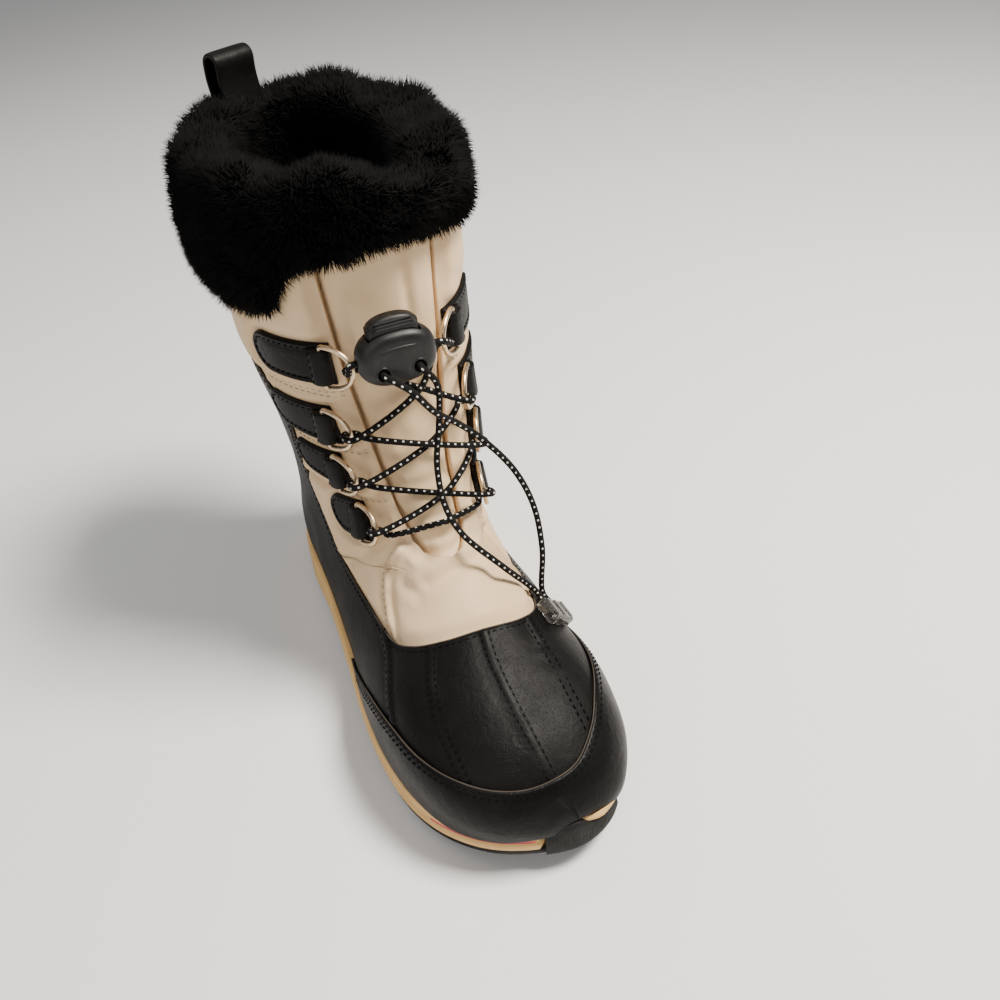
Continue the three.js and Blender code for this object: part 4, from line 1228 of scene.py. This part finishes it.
def fur_skin():
    """Grid of the collar's backing: turns by profile points, from the outer hem over the top inside."""
    turn = np.arange(CUFF_TURNS) / CUFF_TURNS * 2 * np.pi
    out, rise, hang, lining = cuff_rows(turn)
    inner = -CUFF_SEAT * np.ones_like(out)
    folded = smooth(30, 75, np.degrees(turn)) * (1 - smooth(150, 176, np.degrees(turn)))
    deep = inner - CUFF_INSIDE * (1 + 1.1 * folded)
    profile = [
        (1.6 + 0 * out, hang - 4), (2.2 + out * .2, hang - 3), (2.4 + out * .42, hang - 9),
        (2.4 + out * .5, hang * .55), (2.2 + out * .46, hang * .15), (out * .44, -rise * .4),
        (out * 0, -rise * .55), (deep * .72, -rise * .35),
        (deep * .88, 3 + 0 * out), (deep * .9, lining - 9), (inner - .2, lining - 4),
        (inner, 0 * out - .7), (2 + 0 * out, 0 * out - .7),
    ]
    rings = []
    for x, drop in profile:
        p = on_last(np.maximum(drop, 0) / ROW_DROP, turn, x)
        p[:, 2] += np.maximum(-drop, 0)
        rings.append(p)
    rings = np.stack(rings, 1)
    grid = np.stack([through(ring, CUFF_STEPS) for ring in rings])
    across = np.roll(grid, -1, 0) - np.roll(grid, 1, 0)
    normal = unit(np.cross(across, np.gradient(grid, axis=1)))
    at = np.arange(CUFF_STEPS)
    free = (smooth(0, 5, at) * (1 - smooth(36, 42, at)))[None, :]
    lobes = 2.3 * waves(grid, 9.5, 4.) + 1.0 * waves(grid, 4.2, 2.)
    return grid + normal * (lobes * free)[..., None]


def skin_faces(turns, count, around, down):
    """Faces of the collar's grid that look outwards."""
    return [(i * count + j, (i + 1) % turns * count + j,
             (i + 1) % turns * count + (j + 1) % count, i * count + (j + 1) % count)
            for i in around for j in down]


def fur_collar(sizes):
    """The collar's backing and its pile, in pieces around the boot."""
    grid = fur_skin()
    turns, count = grid.shape[:2]
    points = grid.reshape(-1, 3)
    faces = skin_faces(turns, count, range(turns), range(count))
    finished(new_object("fur_backing", points, faces, LOOKS["skin"]), "black_fur", "fur_cuff")
    tree = pile_tree()
    half = turns // 2
    regions = {
        "fur_pile_inner_side": (range(half), range(CUFF_TOP)),
        "fur_pile_outer_side": (range(half, turns), range(CUFF_TOP)),
        "fur_pile_top": (range(turns), range(CUFF_TOP, CUFF_INNER)),
        "fur_pile_inside": (range(turns), range(CUFF_INNER, CUFF_WALL)),
    }
    for seed, (name, (around, down)) in enumerate(regions.items(), 3):
        piece = new_object(name, points, skin_faces(turns, count, around, down), LOOKS["fur"],
                           merge=False, outwards=False)
        grown(piece, tree, density=sizes.hairs * 1e4, length=sizes.pile, thickness=HAIR_THICK, seed=seed,
              hair=LOOKS["fur"])
        piece.data.shade_smooth()
        finished(piece, "black_fur")


def loop_frame():
    """The pull loop's place: x out of the boot, y up."""
    turn = math.radians(LOOP["turn"])
    point, _, _, normal = last_axes(0., turn)
    out = unit(normal * [1, 1, 0])
    up = np.array([0, 0, 1.])
    m = np.eye(4)
    centre = point + normal * LOOP["out"] + up * (LOOP["sunk"] + 1.5)
    m[:3, :4] = np.stack([out, up, np.cross(out, up), centre], -1)
    return m


def pull_loop():
    """The strap folded into a loop at the back."""
    radius = (LOOP["gap"] + LOOP["strap"]) / 2
    high = LOOP["top"] - radius - 1
    low = -LOOP["sunk"] + radius + 1
    path = []
    for centre, start in ((high, 0), (low, math.pi)):
        for a in np.linspace(0, math.pi, 17):
            path.append((radius * math.cos(start + a), centre + radius * math.sin(start + a)))
    path = evenly(np.array(path), 72, closed=True)
    along = unit(np.roll(path, -1, 0) - np.roll(path, 1, 0))
    rings = []
    m = loop_frame()
    for (x, y), (ax, ay) in zip(path, along):
        thick, wide = squarish(24, .35)
        thick, wide = LOOP["strap"] / 2 * thick, LOOP["width"] / 2 * wide
        lean = .5 * math.sin(y * .3)
        rings.append(moved(m, np.stack([x + ay * thick + lean, y - ax * thick, wide], -1)))
    piece = new_object("pull_loop_strap", *loft_data(rings, closed=True), LOOKS["tab"])
    return finished(piece, "black_leather", "pull_loop")


def fold_frame(row, side):
    """The middle of the fold that holds a ring."""
    u, turn = walk(row[0], side * math.radians(row[1]), -TAB["fold"] / 2, 0)
    return frame_at(u, turn, 0, side)


def ring_frame(row, side):
    """A ring's place, tilted a little out of its fold."""
    m = fold_frame(row, side) @ shifted(TAB["fold"] / 2 - 3.4, 0, RING["bar"])
    return m @ turned("Y", -RING["tilt"])


def tab_height(inset):
    """The tab's thickness by distance from its edge: a round rim, a sewn groove and a padded middle."""
    rim = np.sqrt(np.clip(1 - (1 - np.minimum(inset / 1.0, 1)) ** 2, 0, 1))
    groove = .55 * np.exp(-((inset - 2.5) / .55) ** 2)
    middle = .25 * smooth(3.2, 6, inset) - .35 * smooth(2.4, 3.2, inset)
    return TAB["low"] + TAB["thick"] * rim - groove + middle


def lace_tab(row, side, mark):
    """One tab with the fold that holds its ring. Gives the lines of its stitches."""
    u0, turn_degrees, length, half = row
    turn0 = side * math.radians(turn_degrees)
    ahead = -length + (np.linspace(0, 1, 44) ** 1.5) * (length - .3) + .02
    in_round = np.maximum(half - (ahead + length), 0)
    reach = np.sqrt(np.maximum(half ** 2 - in_round ** 2, .0004))
    s = np.sin(np.linspace(-1, 1, 25) * np.pi / 2)
    down = reach[:, None] * s
    ahead = np.broadcast_to(ahead[:, None], down.shape)
    inset = np.where(ahead < -length + half, half - np.hypot(ahead + length - half, down),
                     half - np.abs(down))
    u, turn = walk(u0, turn0, ahead, down)
    top = on_last(u, turn, tab_height(np.maximum(inset, 0)) + .1 * waves(last_point(u, turn), 5, 1.))
    base = layer(u, turn, TAB["low"] - .3)
    fold = fold_frame(row, side)
    reach_x, top_z = TAB["fold"] / 2, TAB["fold_top"]
    outline = centripetal([(-reach_x - .6, 1.4), (-reach_x + .5, 3.6), (-reach_x + 2.6, top_z - .5),
                           (0, top_z), (reach_x - 2.2, top_z - .3), (reach_x - .2, top_z - 2.2),
                           (reach_x, 3.4), (reach_x - .5, 1.4), (0, .9)], 5, closed=True)
    middle = outline.mean(0)
    rings = []
    for y, size in ((-1, .80), (-.965, .93), (-.88, 1), (-.3, 1),
                    (.3, 1), (.88, 1), (.965, .93), (1, .80)):
        x, z = (middle + (outline - middle) * size).T
        flat = np.stack([x, np.full(len(x), y * TAB["fold_half"]), z], -1)
        rings.append(moved(fold, flat))
    solid = joined([shell_data(top, base), loft_data(rings)])
    piece = new_object(f"lace_tab_{mark}", *solid, LOOKS["tab"])
    finished(piece, "black_leather", f"ring_tab_{mark}")
    arc = np.linspace(math.pi / 2, 3 * math.pi / 2, 30)
    r = half - TAB["sewn_in"]
    front = -TAB["fold"] - .5
    xs = np.concatenate([[front], -length + half + r * np.cos(arc), [front]])
    ys = np.concatenate([[r], r * np.sin(arc), [-r]])
    line = evenly(np.stack([xs, ys], -1), 60)
    lu, lt = walk(u0, turn0, line[:, 0], line[:, 1])
    rows = [on_last(lu, lt, (tab_height(np.array(TAB["sewn_in"])) + .25) * np.ones(60))]
    height = max(np.interp(-3.4, outline[:25, 0], outline[:25, 1]), 2.6) + .1
    rows.append(moved(fold, [(-3.4, y, height) for y in np.linspace(-6.6, 6.6, 12)]))
    return rows


def each_tab():
    """The mark, lacing row and side of every tab."""
    for letter, side in (("l", -1), ("r", 1)):
        for index, row in enumerate(LACING, 1):
            yield f"{letter}{index}", row, side


def lace_tabs(sizes):
    """All eight tabs and their stitches."""
    rows = []
    for mark, row, side in each_tab():
        rows += lace_tab(row, side, mark)
    stitches("tab_stitches", rows, LOOKS["dark_thread"], "black_leather", sizes)


def d_rings():
    """The eight wire rings, one in each tab's fold."""
    for mark, row, side in each_tab():
        a = np.linspace(-.5, .5, 34) * np.pi
        bow = np.stack([RING["bow"] * np.abs(np.cos(a)) ** .8, RING["half"] * np.sin(a), 0 * a], -1)
        across = np.linspace(RING["half"], -RING["half"], 11)[1:-1]
        bar = np.stack([0 * across, across, 0 * across], -1)
        path = evenly(np.vstack([bow, bar]), 60, closed=True)
        path = (np.roll(path, 1, 0) + path + np.roll(path, -1, 0)) / 3
        wire = moved(ring_frame(row, side), path)
        points, faces, _ = sweep_data(wire, RING["wire"], 12, closed=True)
        piece = new_object(f"ring_{mark}", points, faces, LOOKS["metal"])
        finished(piece, "pale_metal", f"d_ring_{mark}")


def cord_piece(name, paths, radius):
    """Cord along one or more paths, mapped along and around for its flecks."""
    parts, uv = [], []
    for path in paths:
        points, faces, where = sweep_data(path, radius, 10)
        parts.append((points, faces))
        uv += [(far / 1000, round_) for far, round_ in where]
    piece = new_object(name, *joined(parts), LOOKS["cord"], uv=uv, merge=False)
    chart = piece.data.uv_layers[0].data
    for face in piece.data.polygons:
        rounds = [chart[k].uv[1] for k in face.loop_indices]
        if max(rounds) - min(rounds) > .5:
            for k in face.loop_indices:
                if chart[k].uv[1] < .5:
                    chart[k].uv[1] += 1
    return piece


LOCK_FRAME = frame_at(LOCK["u"], math.radians(LOCK["turn"]), LOCK["out"], -1)
CLIP_FRAME = frame_at(CLIP["u"], math.radians(CLIP["turn"]), CLIP["out"], 1) @ turned("Z", CLIP["spin"])


def through_ring(row, side):
    """The lace's way into a ring and back out."""
    return moved(ring_frame(row, side), [
        (LACE["reach"], LACE["spread"], LACE["over"]), (LACE["bow"], LACE["spread"] / 2, LACE["over"]),
        (LACE["hole"], 0, 0), (LACE["bow"], -LACE["spread"] / 2, -LACE["over"]),
        (LACE["reach"], -LACE["spread"], -LACE["over"]),
    ])


def lace(sizes):
    """The elastic cord through the rings, one half from each side of the lock."""
    paths = []
    for side in (-1, 1):
        out = LACE["low"] if side < 0 else LACE["high"]
        points = list(moved(LOCK_FRAME, [(side * (LOCK["width"] / 2 + x), 0, 0) for x in (-3, 2)]))
        at = side
        for i, row in enumerate(LACING):
            points += list(through_ring(row, at))[1 if i == 0 else 0:]
            if i < len(LACING) - 1:
                u = (row[0] + LACING[i + 1][0]) / 2
                points.append(on_last(u, math.radians(5), out))
            at = -at
        points.append(on_last(LACING[-1][0] + .2, math.radians(4), LACE["low"]))
        paths.append(centripetal(points, 9))
    piece = cord_piece("elastic_lace", paths, sizes.cord * 500)
    return finished(piece, "elastic_cord", "lace")


def cord_ends(sizes):
    """The two free ends, from the lock down to the clip."""
    floor = LOCK["depth"] / 2 - LOCK["hole_depth"] + .5
    clip = clip_piece()
    for side, name in ((-1, "left"), (1, "right")):
        start = moved(LOCK_FRAME, [(side * LOCK["hole_x"], -LOCK["hole_down"], z)
                                   for z in (floor, floor + 4)])
        end = moved(CLIP_FRAME, [(side * CLIP["cord_x"], CLIP["wide"] / 2 + y, 0) for y in (7, .4, -3)])
        path = centripetal([*start, *ROUTES[side], *end], 8)
        piece = cord_piece(f"cord_end_{name}", [path], sizes.cord * 500)
        finished(piece, "elastic_cord", f"cord_{name}")


def clip_piece():
    """The clear clip that the two ends are held in, with one corner broken off."""
    size = (CLIP["long"], CLIP["wide"], CLIP["thick"])
    ribs = [block_data(CLIP_FRAME @ shifted(x, 0, 2.9), (1.1, CLIP["wide"] - 2.6, 1.3), .35, 2)
            for x in (-6.2, 0, 6.2)]
    piece = new_object("cord_clip_clear", *block_data(CLIP_FRAME, size, 1.5, 4), LOOKS["clear"])
    cutters = []
    for side in (-1, 1):
        path = moved(CLIP_FRAME, [(side * CLIP["cord_x"], y, 0) for y in (8, 4, 0, -2.5)])
        cutters.append(sweep_data(path, 1.7, 14)[:2])
    corner = CLIP_FRAME @ shifted(CLIP["long"] / 2, -CLIP["wide"] / 2, 1)
    cutters.append(block_data(corner @ turned("Z", 38) @ turned("X", 24), (5.5, 7, 9), .3, 1))
    cut_by(piece, cutters)
    finished(piece, "clear_plastic", "cord_clip")
    finished(new_object("cord_clip_ribs", *joined(ribs), LOOKS["clear"]), "clear_plastic")
    return piece


def lock_body():
    """The lock's oval body with its slot and holes, and the rims on it."""
    rings = []
    for size, z in LOCK_PROFILE:
        x, y = squarish(56, .8)
        x, y = x * (LOCK["width"] * size) / 2, y * (LOCK["height"] * size) / 2
        rings.append(moved(LOCK_FRAME, np.stack([x, y, np.full(56, z * LOCK["depth"])], -1)))
    body = new_object("lock_body_oval", *loft_data(rings), LOOKS["plastic"])
    cutters = []
    front = LOCK["depth"] / 2
    slot_top = LOCK["height"] / 2 + 4
    slot = LOCK_FRAME @ shifted(0, (slot_top + 1) / 2, 0)
    cutters.append(block_data(slot, (LOCK["slot_width"], slot_top - 1, LOCK["slot_depth"]), .8, 2))
    for side in (-1, 1):
        hole = moved(LOCK_FRAME, [(side * LOCK["hole_x"], -LOCK["hole_down"], front + z)
                                  for z in (-LOCK["hole_depth"], 0, 4)])
        cutters.append(sweep_data(hole, LOCK["hole_radius"], 28)[:2])
        entry = moved(LOCK_FRAME, [(side * (LOCK["width"] / 2 + x), 0, 0) for x in (-4, 0, 4)])
        cutters.append(sweep_data(entry, LOCK["entry"], 24)[:2])
    cut_by(body, cutters)
    finished(body, "black_plastic", "lock_body")
    rims = []
    for side in (-1, 1):
        a = np.linspace(0, 2 * np.pi, 33)[:-1]
        rim = np.stack([side * LOCK["hole_x"] + LOCK["rim"] * np.cos(a),
                        -LOCK["hole_down"] + LOCK["rim"] * np.sin(a), np.full(32, front - .25)], -1)
        rims.append(sweep_data(moved(LOCK_FRAME, rim), .55, 8, closed=True)[:2])
    across = np.linspace(-1, 1, 30)
    ledge = [(x * 13.2, 5.3 - 1.9 * x * x, front - .35 - 2.1 * x ** 4) for x in across]
    thick = np.interp(across, [-1, -.8, .8, 1], [.2, .75, .75, .2])
    rims.append(sweep_data(moved(LOCK_FRAME, ledge), thick, 8)[:2])
    finished(new_object("lock_rims", *joined(rims), LOOKS["plastic"]), "black_plastic")


def slide_button():
    """The button that slides in the lock's top, with three ribs for the thumb."""
    width, low = LOCK["slot_width"] - SLIDE["play"], SLIDE["low"]
    top = LOCK["height"] / 2 + SLIDE["rise"]
    rings = []
    for y, w, d in ((low, .9, .86), (low + .5, 1, 1), (top - 4, 1, 1), (top - 2.2, .985, .97),
                    (top - 1, .93, .86), (top - .3, .80, .66), (top, .5, .36)):
        x, z = squarish(44, .5)
        x, z = x * width / 2 * w, z * SLIDE["half"] * d
        arched = y - SLIDE["arch"] * (x / width * 2) ** 2 * (y > top - 3)
        rings.append(moved(LOCK_FRAME, np.stack([x, arched, z], -1)))
    parts = [loft_data(rings)]
    for y in (top - 4.6, top - 3.2, top - 1.8):
        rib = [(x, y, 3.45) for x in np.linspace(-SLIDE["rib_half"], SLIDE["rib_half"], 12)]
        parts.append(sweep_data(moved(LOCK_FRAME, rib), .35, 6)[:2])
    button = new_object("lock_button_slide", *joined(parts), LOOKS["plastic"])
    finished(button, "black_plastic", "lock_button", body=BUTTON)


def sole_outline(count):
    """The sole's outline and the way out of it at each of its points."""
    side = [(lateral, y) for y, lateral, _ in OUTLINE]
    back = [(medial, y) for y, _, medial in OUTLINE[1:-1]][::-1]
    line = evenly(centripetal(side + back, 16, closed=True), count, closed=True)
    along = unit(np.roll(line, -1, 0) - np.roll(line, 1, 0))
    normal = np.stack([-along[:, 1], along[:, 0]], -1)
    return line, normal if np.sum(normal * (line - line.mean(0))) > 0 else -normal


def stacked(line, normal, levels):
    """Rings around the sole; each level is how far out and its height by y."""
    rings = []
    for out, height in levels:
        flat = line + normal * np.asarray(out).reshape(-1, 1)
        rings.append(np.column_stack([flat, height(flat[:, 1])]))
    return rings


def cap_faces(n, start, flip):
    """Faces that close a ring across, end to end."""
    faces = []
    for i in range(n // 2):
        a, b, c, d = i, i + 1, (n - i - 1) % n, (n - i) % n
        face = [k + start for k in dict.fromkeys((a, b, c, d))]
        if len(face) > 2:
            faces.append(tuple(face[::-1] if flip else face))
    return faces


def sole_pieces():
    """The midsole, the side band of the tread and the finish of the frame's outsole."""
    count = 260
    line, normal = sole_outline(count)
    toe = smooth(BUMPER["left"] - .5, BUMPER["left"] + .8, line[:, 0])
    toe = toe * (1 - smooth(BUMPER["right"] - .8, BUMPER["right"] + .5, line[:, 0]))
    toe = toe * (line[:, 1] < BUMPER["ends"])
    levels, marks = [], []
    on_line = (line[:, 0] < -12) & (line[:, 1] < -104) & (line[:, 1] > -139)
    for t, extra in MIDSOLE_SIDE:
        over = smooth(.58, .7, t) * smooth(4, 16, line[:, 0])
        out = SOLE["flare"] * (1 - t) + extra - 4 * toe * (1 - over) + 1.7 * toe * over * (t < .95)
        levels.append((out, lambda y, t=t: plate_top(y) + GAP + (sole_top(y) - plate_top(y) - GAP) * t))
        marks += [(1. if m and .45 < t < .53 else 0., 0.) for m in on_line]
    rings = stacked(line, normal, levels)
    points = np.vstack(rings)
    faces = grid_faces(len(rings), count, wrap=True)
    faces += cap_faces(count, 0, True) + cap_faces(count, (len(rings) - 1) * count, False)
    piece = new_object("foam_midsole", points, faces, LOOKS["foam"], uv=marks, merge=False)
    finished(piece, "cream_foam", "midsole")
    band = stacked(line, normal, [
        (1.05, lambda y: ground_level(y) + 2.7), (1.45, lambda y: ground_level(y) + 3.1),
        (1.55, lambda y: ground_level(y) + 4.4), (1.4, lambda y: plate_top(y) - .35),
        (1.0, lambda y: plate_top(y) + .1), (.4, lambda y: plate_top(y) + .1),
        (.4, lambda y: ground_level(y) + 2.7)])
    band = np.stack(band, 1)
    points, faces = loft_data(band, closed=True)
    finished(new_object("tread_side_band", points, faces, LOOKS["rubber"]), "black_rubber")
    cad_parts["outsole"].data.materials.clear()
    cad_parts["outsole"].data.materials.append(LOOKS["rubber"])
    toe_bumper(line, normal)


def toe_bumper(line, normal):
    """The rubber wrap over the midsole's toe, with rows of short ribs."""
    at = np.where((line[:, 0] > BUMPER["left"] - .2) & (line[:, 0] < BUMPER["right"] + .2)
                  & (line[:, 1] < BUMPER["ends"]))[0]
    fine = evenly(np.hstack([line[at], normal[at]]), 90)
    flat, way = fine[:, :2], unit(fine[:, 2:])
    s = np.linspace(0, 1, 90)
    ragged = .7 * np.sin(s * 61) * (np.minimum(s, 1 - s) < .08)
    outer, inner = [], []
    for t in np.linspace(0, 1, 16):
        rib = .22 * (np.sin(s * 2 * np.pi * BUMPER["ribs"]) > .2) * (.3 < t < .72)
        round_edge = .8 * (1 - math.sqrt(max(1 - (abs(2 * t - 1)) ** 6, 0)))
        out = BUMPER["proud"] + .45 + SOLE["flare"] * (1 - t) - round_edge + rib
        low = 1 - .34 * smooth(4, 16, flat[:, 0])
        ground, top = ground_level(flat[:, 1]), sole_top(flat[:, 1])
        height = ground + 2.6 + (top - 2.2 - ground) * t * low
        outer.append(np.column_stack([flat + way * np.reshape(out, (-1, 1)), height + ragged * t]))
        inner.append(np.column_stack([flat - way * 1.2, height + ragged * t]))
    piece = new_object("toe_bumper", *shell_data(np.array(outer), np.array(inner)), LOOKS["rubber"])
    finished(piece, "black_rubber")


# ------------------------------------------------------------------ floor, light and camera

def area_light(name, place, size, power, colour):
    """A square soft light that looks at the boot."""
    light = bpy.data.lights.new(name, "AREA")
    light.size = size
    light.energy = power
    light.color = colour
    lamp = bpy.data.objects.new(name, light)
    lamp.location = place
    lamp.rotation_euler = (Vector(LIT) - Vector(place)).to_track_quat("-Z", "Y").to_euler()
    bpy.context.scene.collection.objects.link(lamp)


def set_camera():
    """The camera, rolled a little as it looks down on the toe."""
    azimuth, height, roll = (math.radians(CAMERA[key]) for key in ("azimuth", "height", "roll"))
    back = Vector((math.sin(azimuth) * math.cos(height), -math.cos(azimuth) * math.cos(height),
                   math.sin(height)))
    right = Vector((math.cos(azimuth), math.sin(azimuth), 0))
    up = back.cross(right)
    turned_right = right * math.cos(roll) + up * math.sin(roll)
    turned_up = up * math.cos(roll) - right * math.sin(roll)
    camera = bpy.data.objects.new("camera", bpy.data.cameras.new("camera"))
    axes = Matrix((turned_right, turned_up, back)).transposed().to_4x4()
    camera.matrix_world = Matrix.Translation(CAMERA["place"]) @ axes
    camera.data.sensor_width = 36
    camera.data.lens = CAMERA["lens"]
    camera.data.clip_start = .01
    bpy.context.scene.collection.objects.link(camera)
    bpy.context.scene.camera = camera


def set_stage():
    """A pale floor, a pale world and three soft lights."""
    mesh = bpy.data.meshes.new("floor")
    corners = [(x * FLOOR, y * FLOOR, 0) for x, y in ((-1, -1), (1, -1), (1, 1), (-1, 1))]
    mesh.from_pydata(corners, [], [(0, 1, 2, 3)])
    mesh.materials.append(LOOKS["floor"])
    floor = bpy.data.objects.new("floor", mesh)
    bpy.context.scene.collection.objects.link(floor)
    world = bpy.data.worlds.new("studio")
    world.use_nodes = True
    sky = world.node_tree.nodes["Background"].inputs
    sky[0].default_value, sky[1].default_value = WORLD["colour"], WORLD["strength"]
    bpy.context.scene.world = world
    for name, light in LIGHTS.items():
        area_light(name, *light)


# ------------------------------------------------------------------ operators

class BOOT_OT_finishes(bpy.types.Operator):
    """Makes the boot's materials"""

    bl_idname = "boot.finishes"
    bl_label = "Finishes"

    def execute(self, context):
        make_looks(context.scene.boot_colours)
        return {"FINISHED"}


class BOOT_OT_camera(bpy.types.Operator):
    """Places the camera"""

    bl_idname = "boot.camera"
    bl_label = "Camera"

    def execute(self, context):
        set_camera()
        return {"FINISHED"}


class BOOT_OT_cords(bpy.types.Operator):
    """Makes the two free cord ends and the clip that holds them"""

    bl_idname = "boot.cords"
    bl_label = "Cord ends and clip"

    def execute(self, context):
        cord_ends(context.scene.boot_sizes)
        return {"FINISHED"}


class BOOT_OT_lace(bpy.types.Operator):
    """Makes the cord through the rings"""

    bl_idname = "boot.lace"
    bl_label = "Elastic lace"

    def execute(self, context):
        lace(context.scene.boot_sizes)
        return {"FINISHED"}


class BOOT_OT_upper(bpy.types.Operator):
    """Makes the padded cloth of the shaft and the vamp"""

    bl_idname = "boot.upper"
    bl_label = "Padded cloth"

    def execute(self, context):
        upper_cloth(context.scene.boot_sizes)
        return {"FINISHED"}


class BOOT_OT_tongue(bpy.types.Operator):
    """Makes the padded tongue"""

    bl_idname = "boot.tongue"
    bl_label = "Tongue"

    def execute(self, context):
        tongue_cloth()
        return {"FINISHED"}


class BOOT_OT_inside(bpy.types.Operator):
    """Makes the fleece lining and the footbed"""

    bl_idname = "boot.inside"
    bl_label = "Inside"

    def execute(self, context):
        fleece_lining()
        footbed()
        return {"FINISHED"}


class BOOT_OT_panels(bpy.types.Operator):
    """Makes the toe cap, the counter and the rand with their edges"""

    bl_idname = "boot.panels"
    bl_label = "Leather panels"

    def execute(self, context):
        leather_panels(context.scene.boot_sizes)
        return {"FINISHED"}


class BOOT_OT_seams(bpy.types.Operator):
    """Sews the rows of stitches on leather and cloth"""

    bl_idname = "boot.seams"
    bl_label = "Seams"

    def execute(self, context):
        seam_rows(context.scene.boot_sizes)
        return {"FINISHED"}


class BOOT_OT_fur(bpy.types.Operator):
    """Makes the collar's backing and its pile"""

    bl_idname = "boot.fur"
    bl_label = "Fur collar"

    def execute(self, context):
        fur_collar(context.scene.boot_sizes)
        return {"FINISHED"}


class BOOT_OT_loop(bpy.types.Operator):
    """Makes the strap at the back of the collar"""

    bl_idname = "boot.loop"
    bl_label = "Pull loop"

    def execute(self, context):
        pull_loop()
        return {"FINISHED"}


class BOOT_OT_tabs(bpy.types.Operator):
    """Makes the eight leather tabs and their stitches"""

    bl_idname = "boot.tabs"
    bl_label = "Lace tabs"

    def execute(self, context):
        lace_tabs(context.scene.boot_sizes)
        return {"FINISHED"}


class BOOT_OT_rings(bpy.types.Operator):
    """Makes the eight wire rings"""

    bl_idname = "boot.rings"
    bl_label = "Rings"

    def execute(self, context):
        d_rings()
        return {"FINISHED"}


class BOOT_OT_lock(bpy.types.Operator):
    """Makes the lock's body, its rims and its button"""

    bl_idname = "boot.lock"
    bl_label = "Cord lock"

    def execute(self, context):
        lock_body()
        slide_button()
        return {"FINISHED"}


class BOOT_OT_sole(bpy.types.Operator):
    """Makes the midsole, the tread's side and the toe bumper"""

    bl_idname = "boot.sole"
    bl_label = "Sole"

    def execute(self, context):
        sole_pieces()
        return {"FINISHED"}


class BOOT_OT_stage(bpy.types.Operator):
    """Makes the floor, the world and the lights"""

    bl_idname = "boot.stage"
    bl_label = "Stage"

    def execute(self, context):
        set_stage()
        return {"FINISHED"}


STEPS = [
    BOOT_OT_finishes, BOOT_OT_camera, BOOT_OT_cords, BOOT_OT_lace, BOOT_OT_upper, BOOT_OT_tongue,
    BOOT_OT_inside, BOOT_OT_panels, BOOT_OT_seams, BOOT_OT_fur, BOOT_OT_loop, BOOT_OT_tabs,
    BOOT_OT_rings, BOOT_OT_lock, BOOT_OT_sole, BOOT_OT_stage,
]


class BOOT_PT_sidebar(bpy.types.Panel):
    """Lists the boot's sizes, colours and pieces."""

    bl_label = "Snow Boot"
    bl_space_type = "VIEW_3D"
    bl_region_type = "UI"
    bl_category = "Boot"

    def draw(self, context):
        scene = context.scene
        for group in (scene.boot_sizes, scene.boot_colours):
            for key in group.__annotations__:
                self.layout.prop(group, key)
        for operator in STEPS:
            self.layout.operator(operator.bl_idname)


CLASSES = [BootSizes, BootColours, *STEPS, BOOT_PT_sidebar]


def register():
    """Adds the sizes, colours, operators and the panel."""
    for cls in CLASSES:
        bpy.utils.register_class(cls)
    bpy.types.Scene.boot_sizes = PointerProperty(type=BootSizes)
    bpy.types.Scene.boot_colours = PointerProperty(type=BootColours)


def unregister():
    """Takes them away again."""
    del bpy.types.Scene.boot_sizes
    del bpy.types.Scene.boot_colours
    for cls in reversed(CLASSES):
        bpy.utils.unregister_class(cls)


def main():
    """Builds the whole boot."""
    register()
    for operator in STEPS:
        family, name = operator.bl_idname.split(".")
        getattr(getattr(bpy.ops, family), name)()


if __name__ == "__main__":
    main()
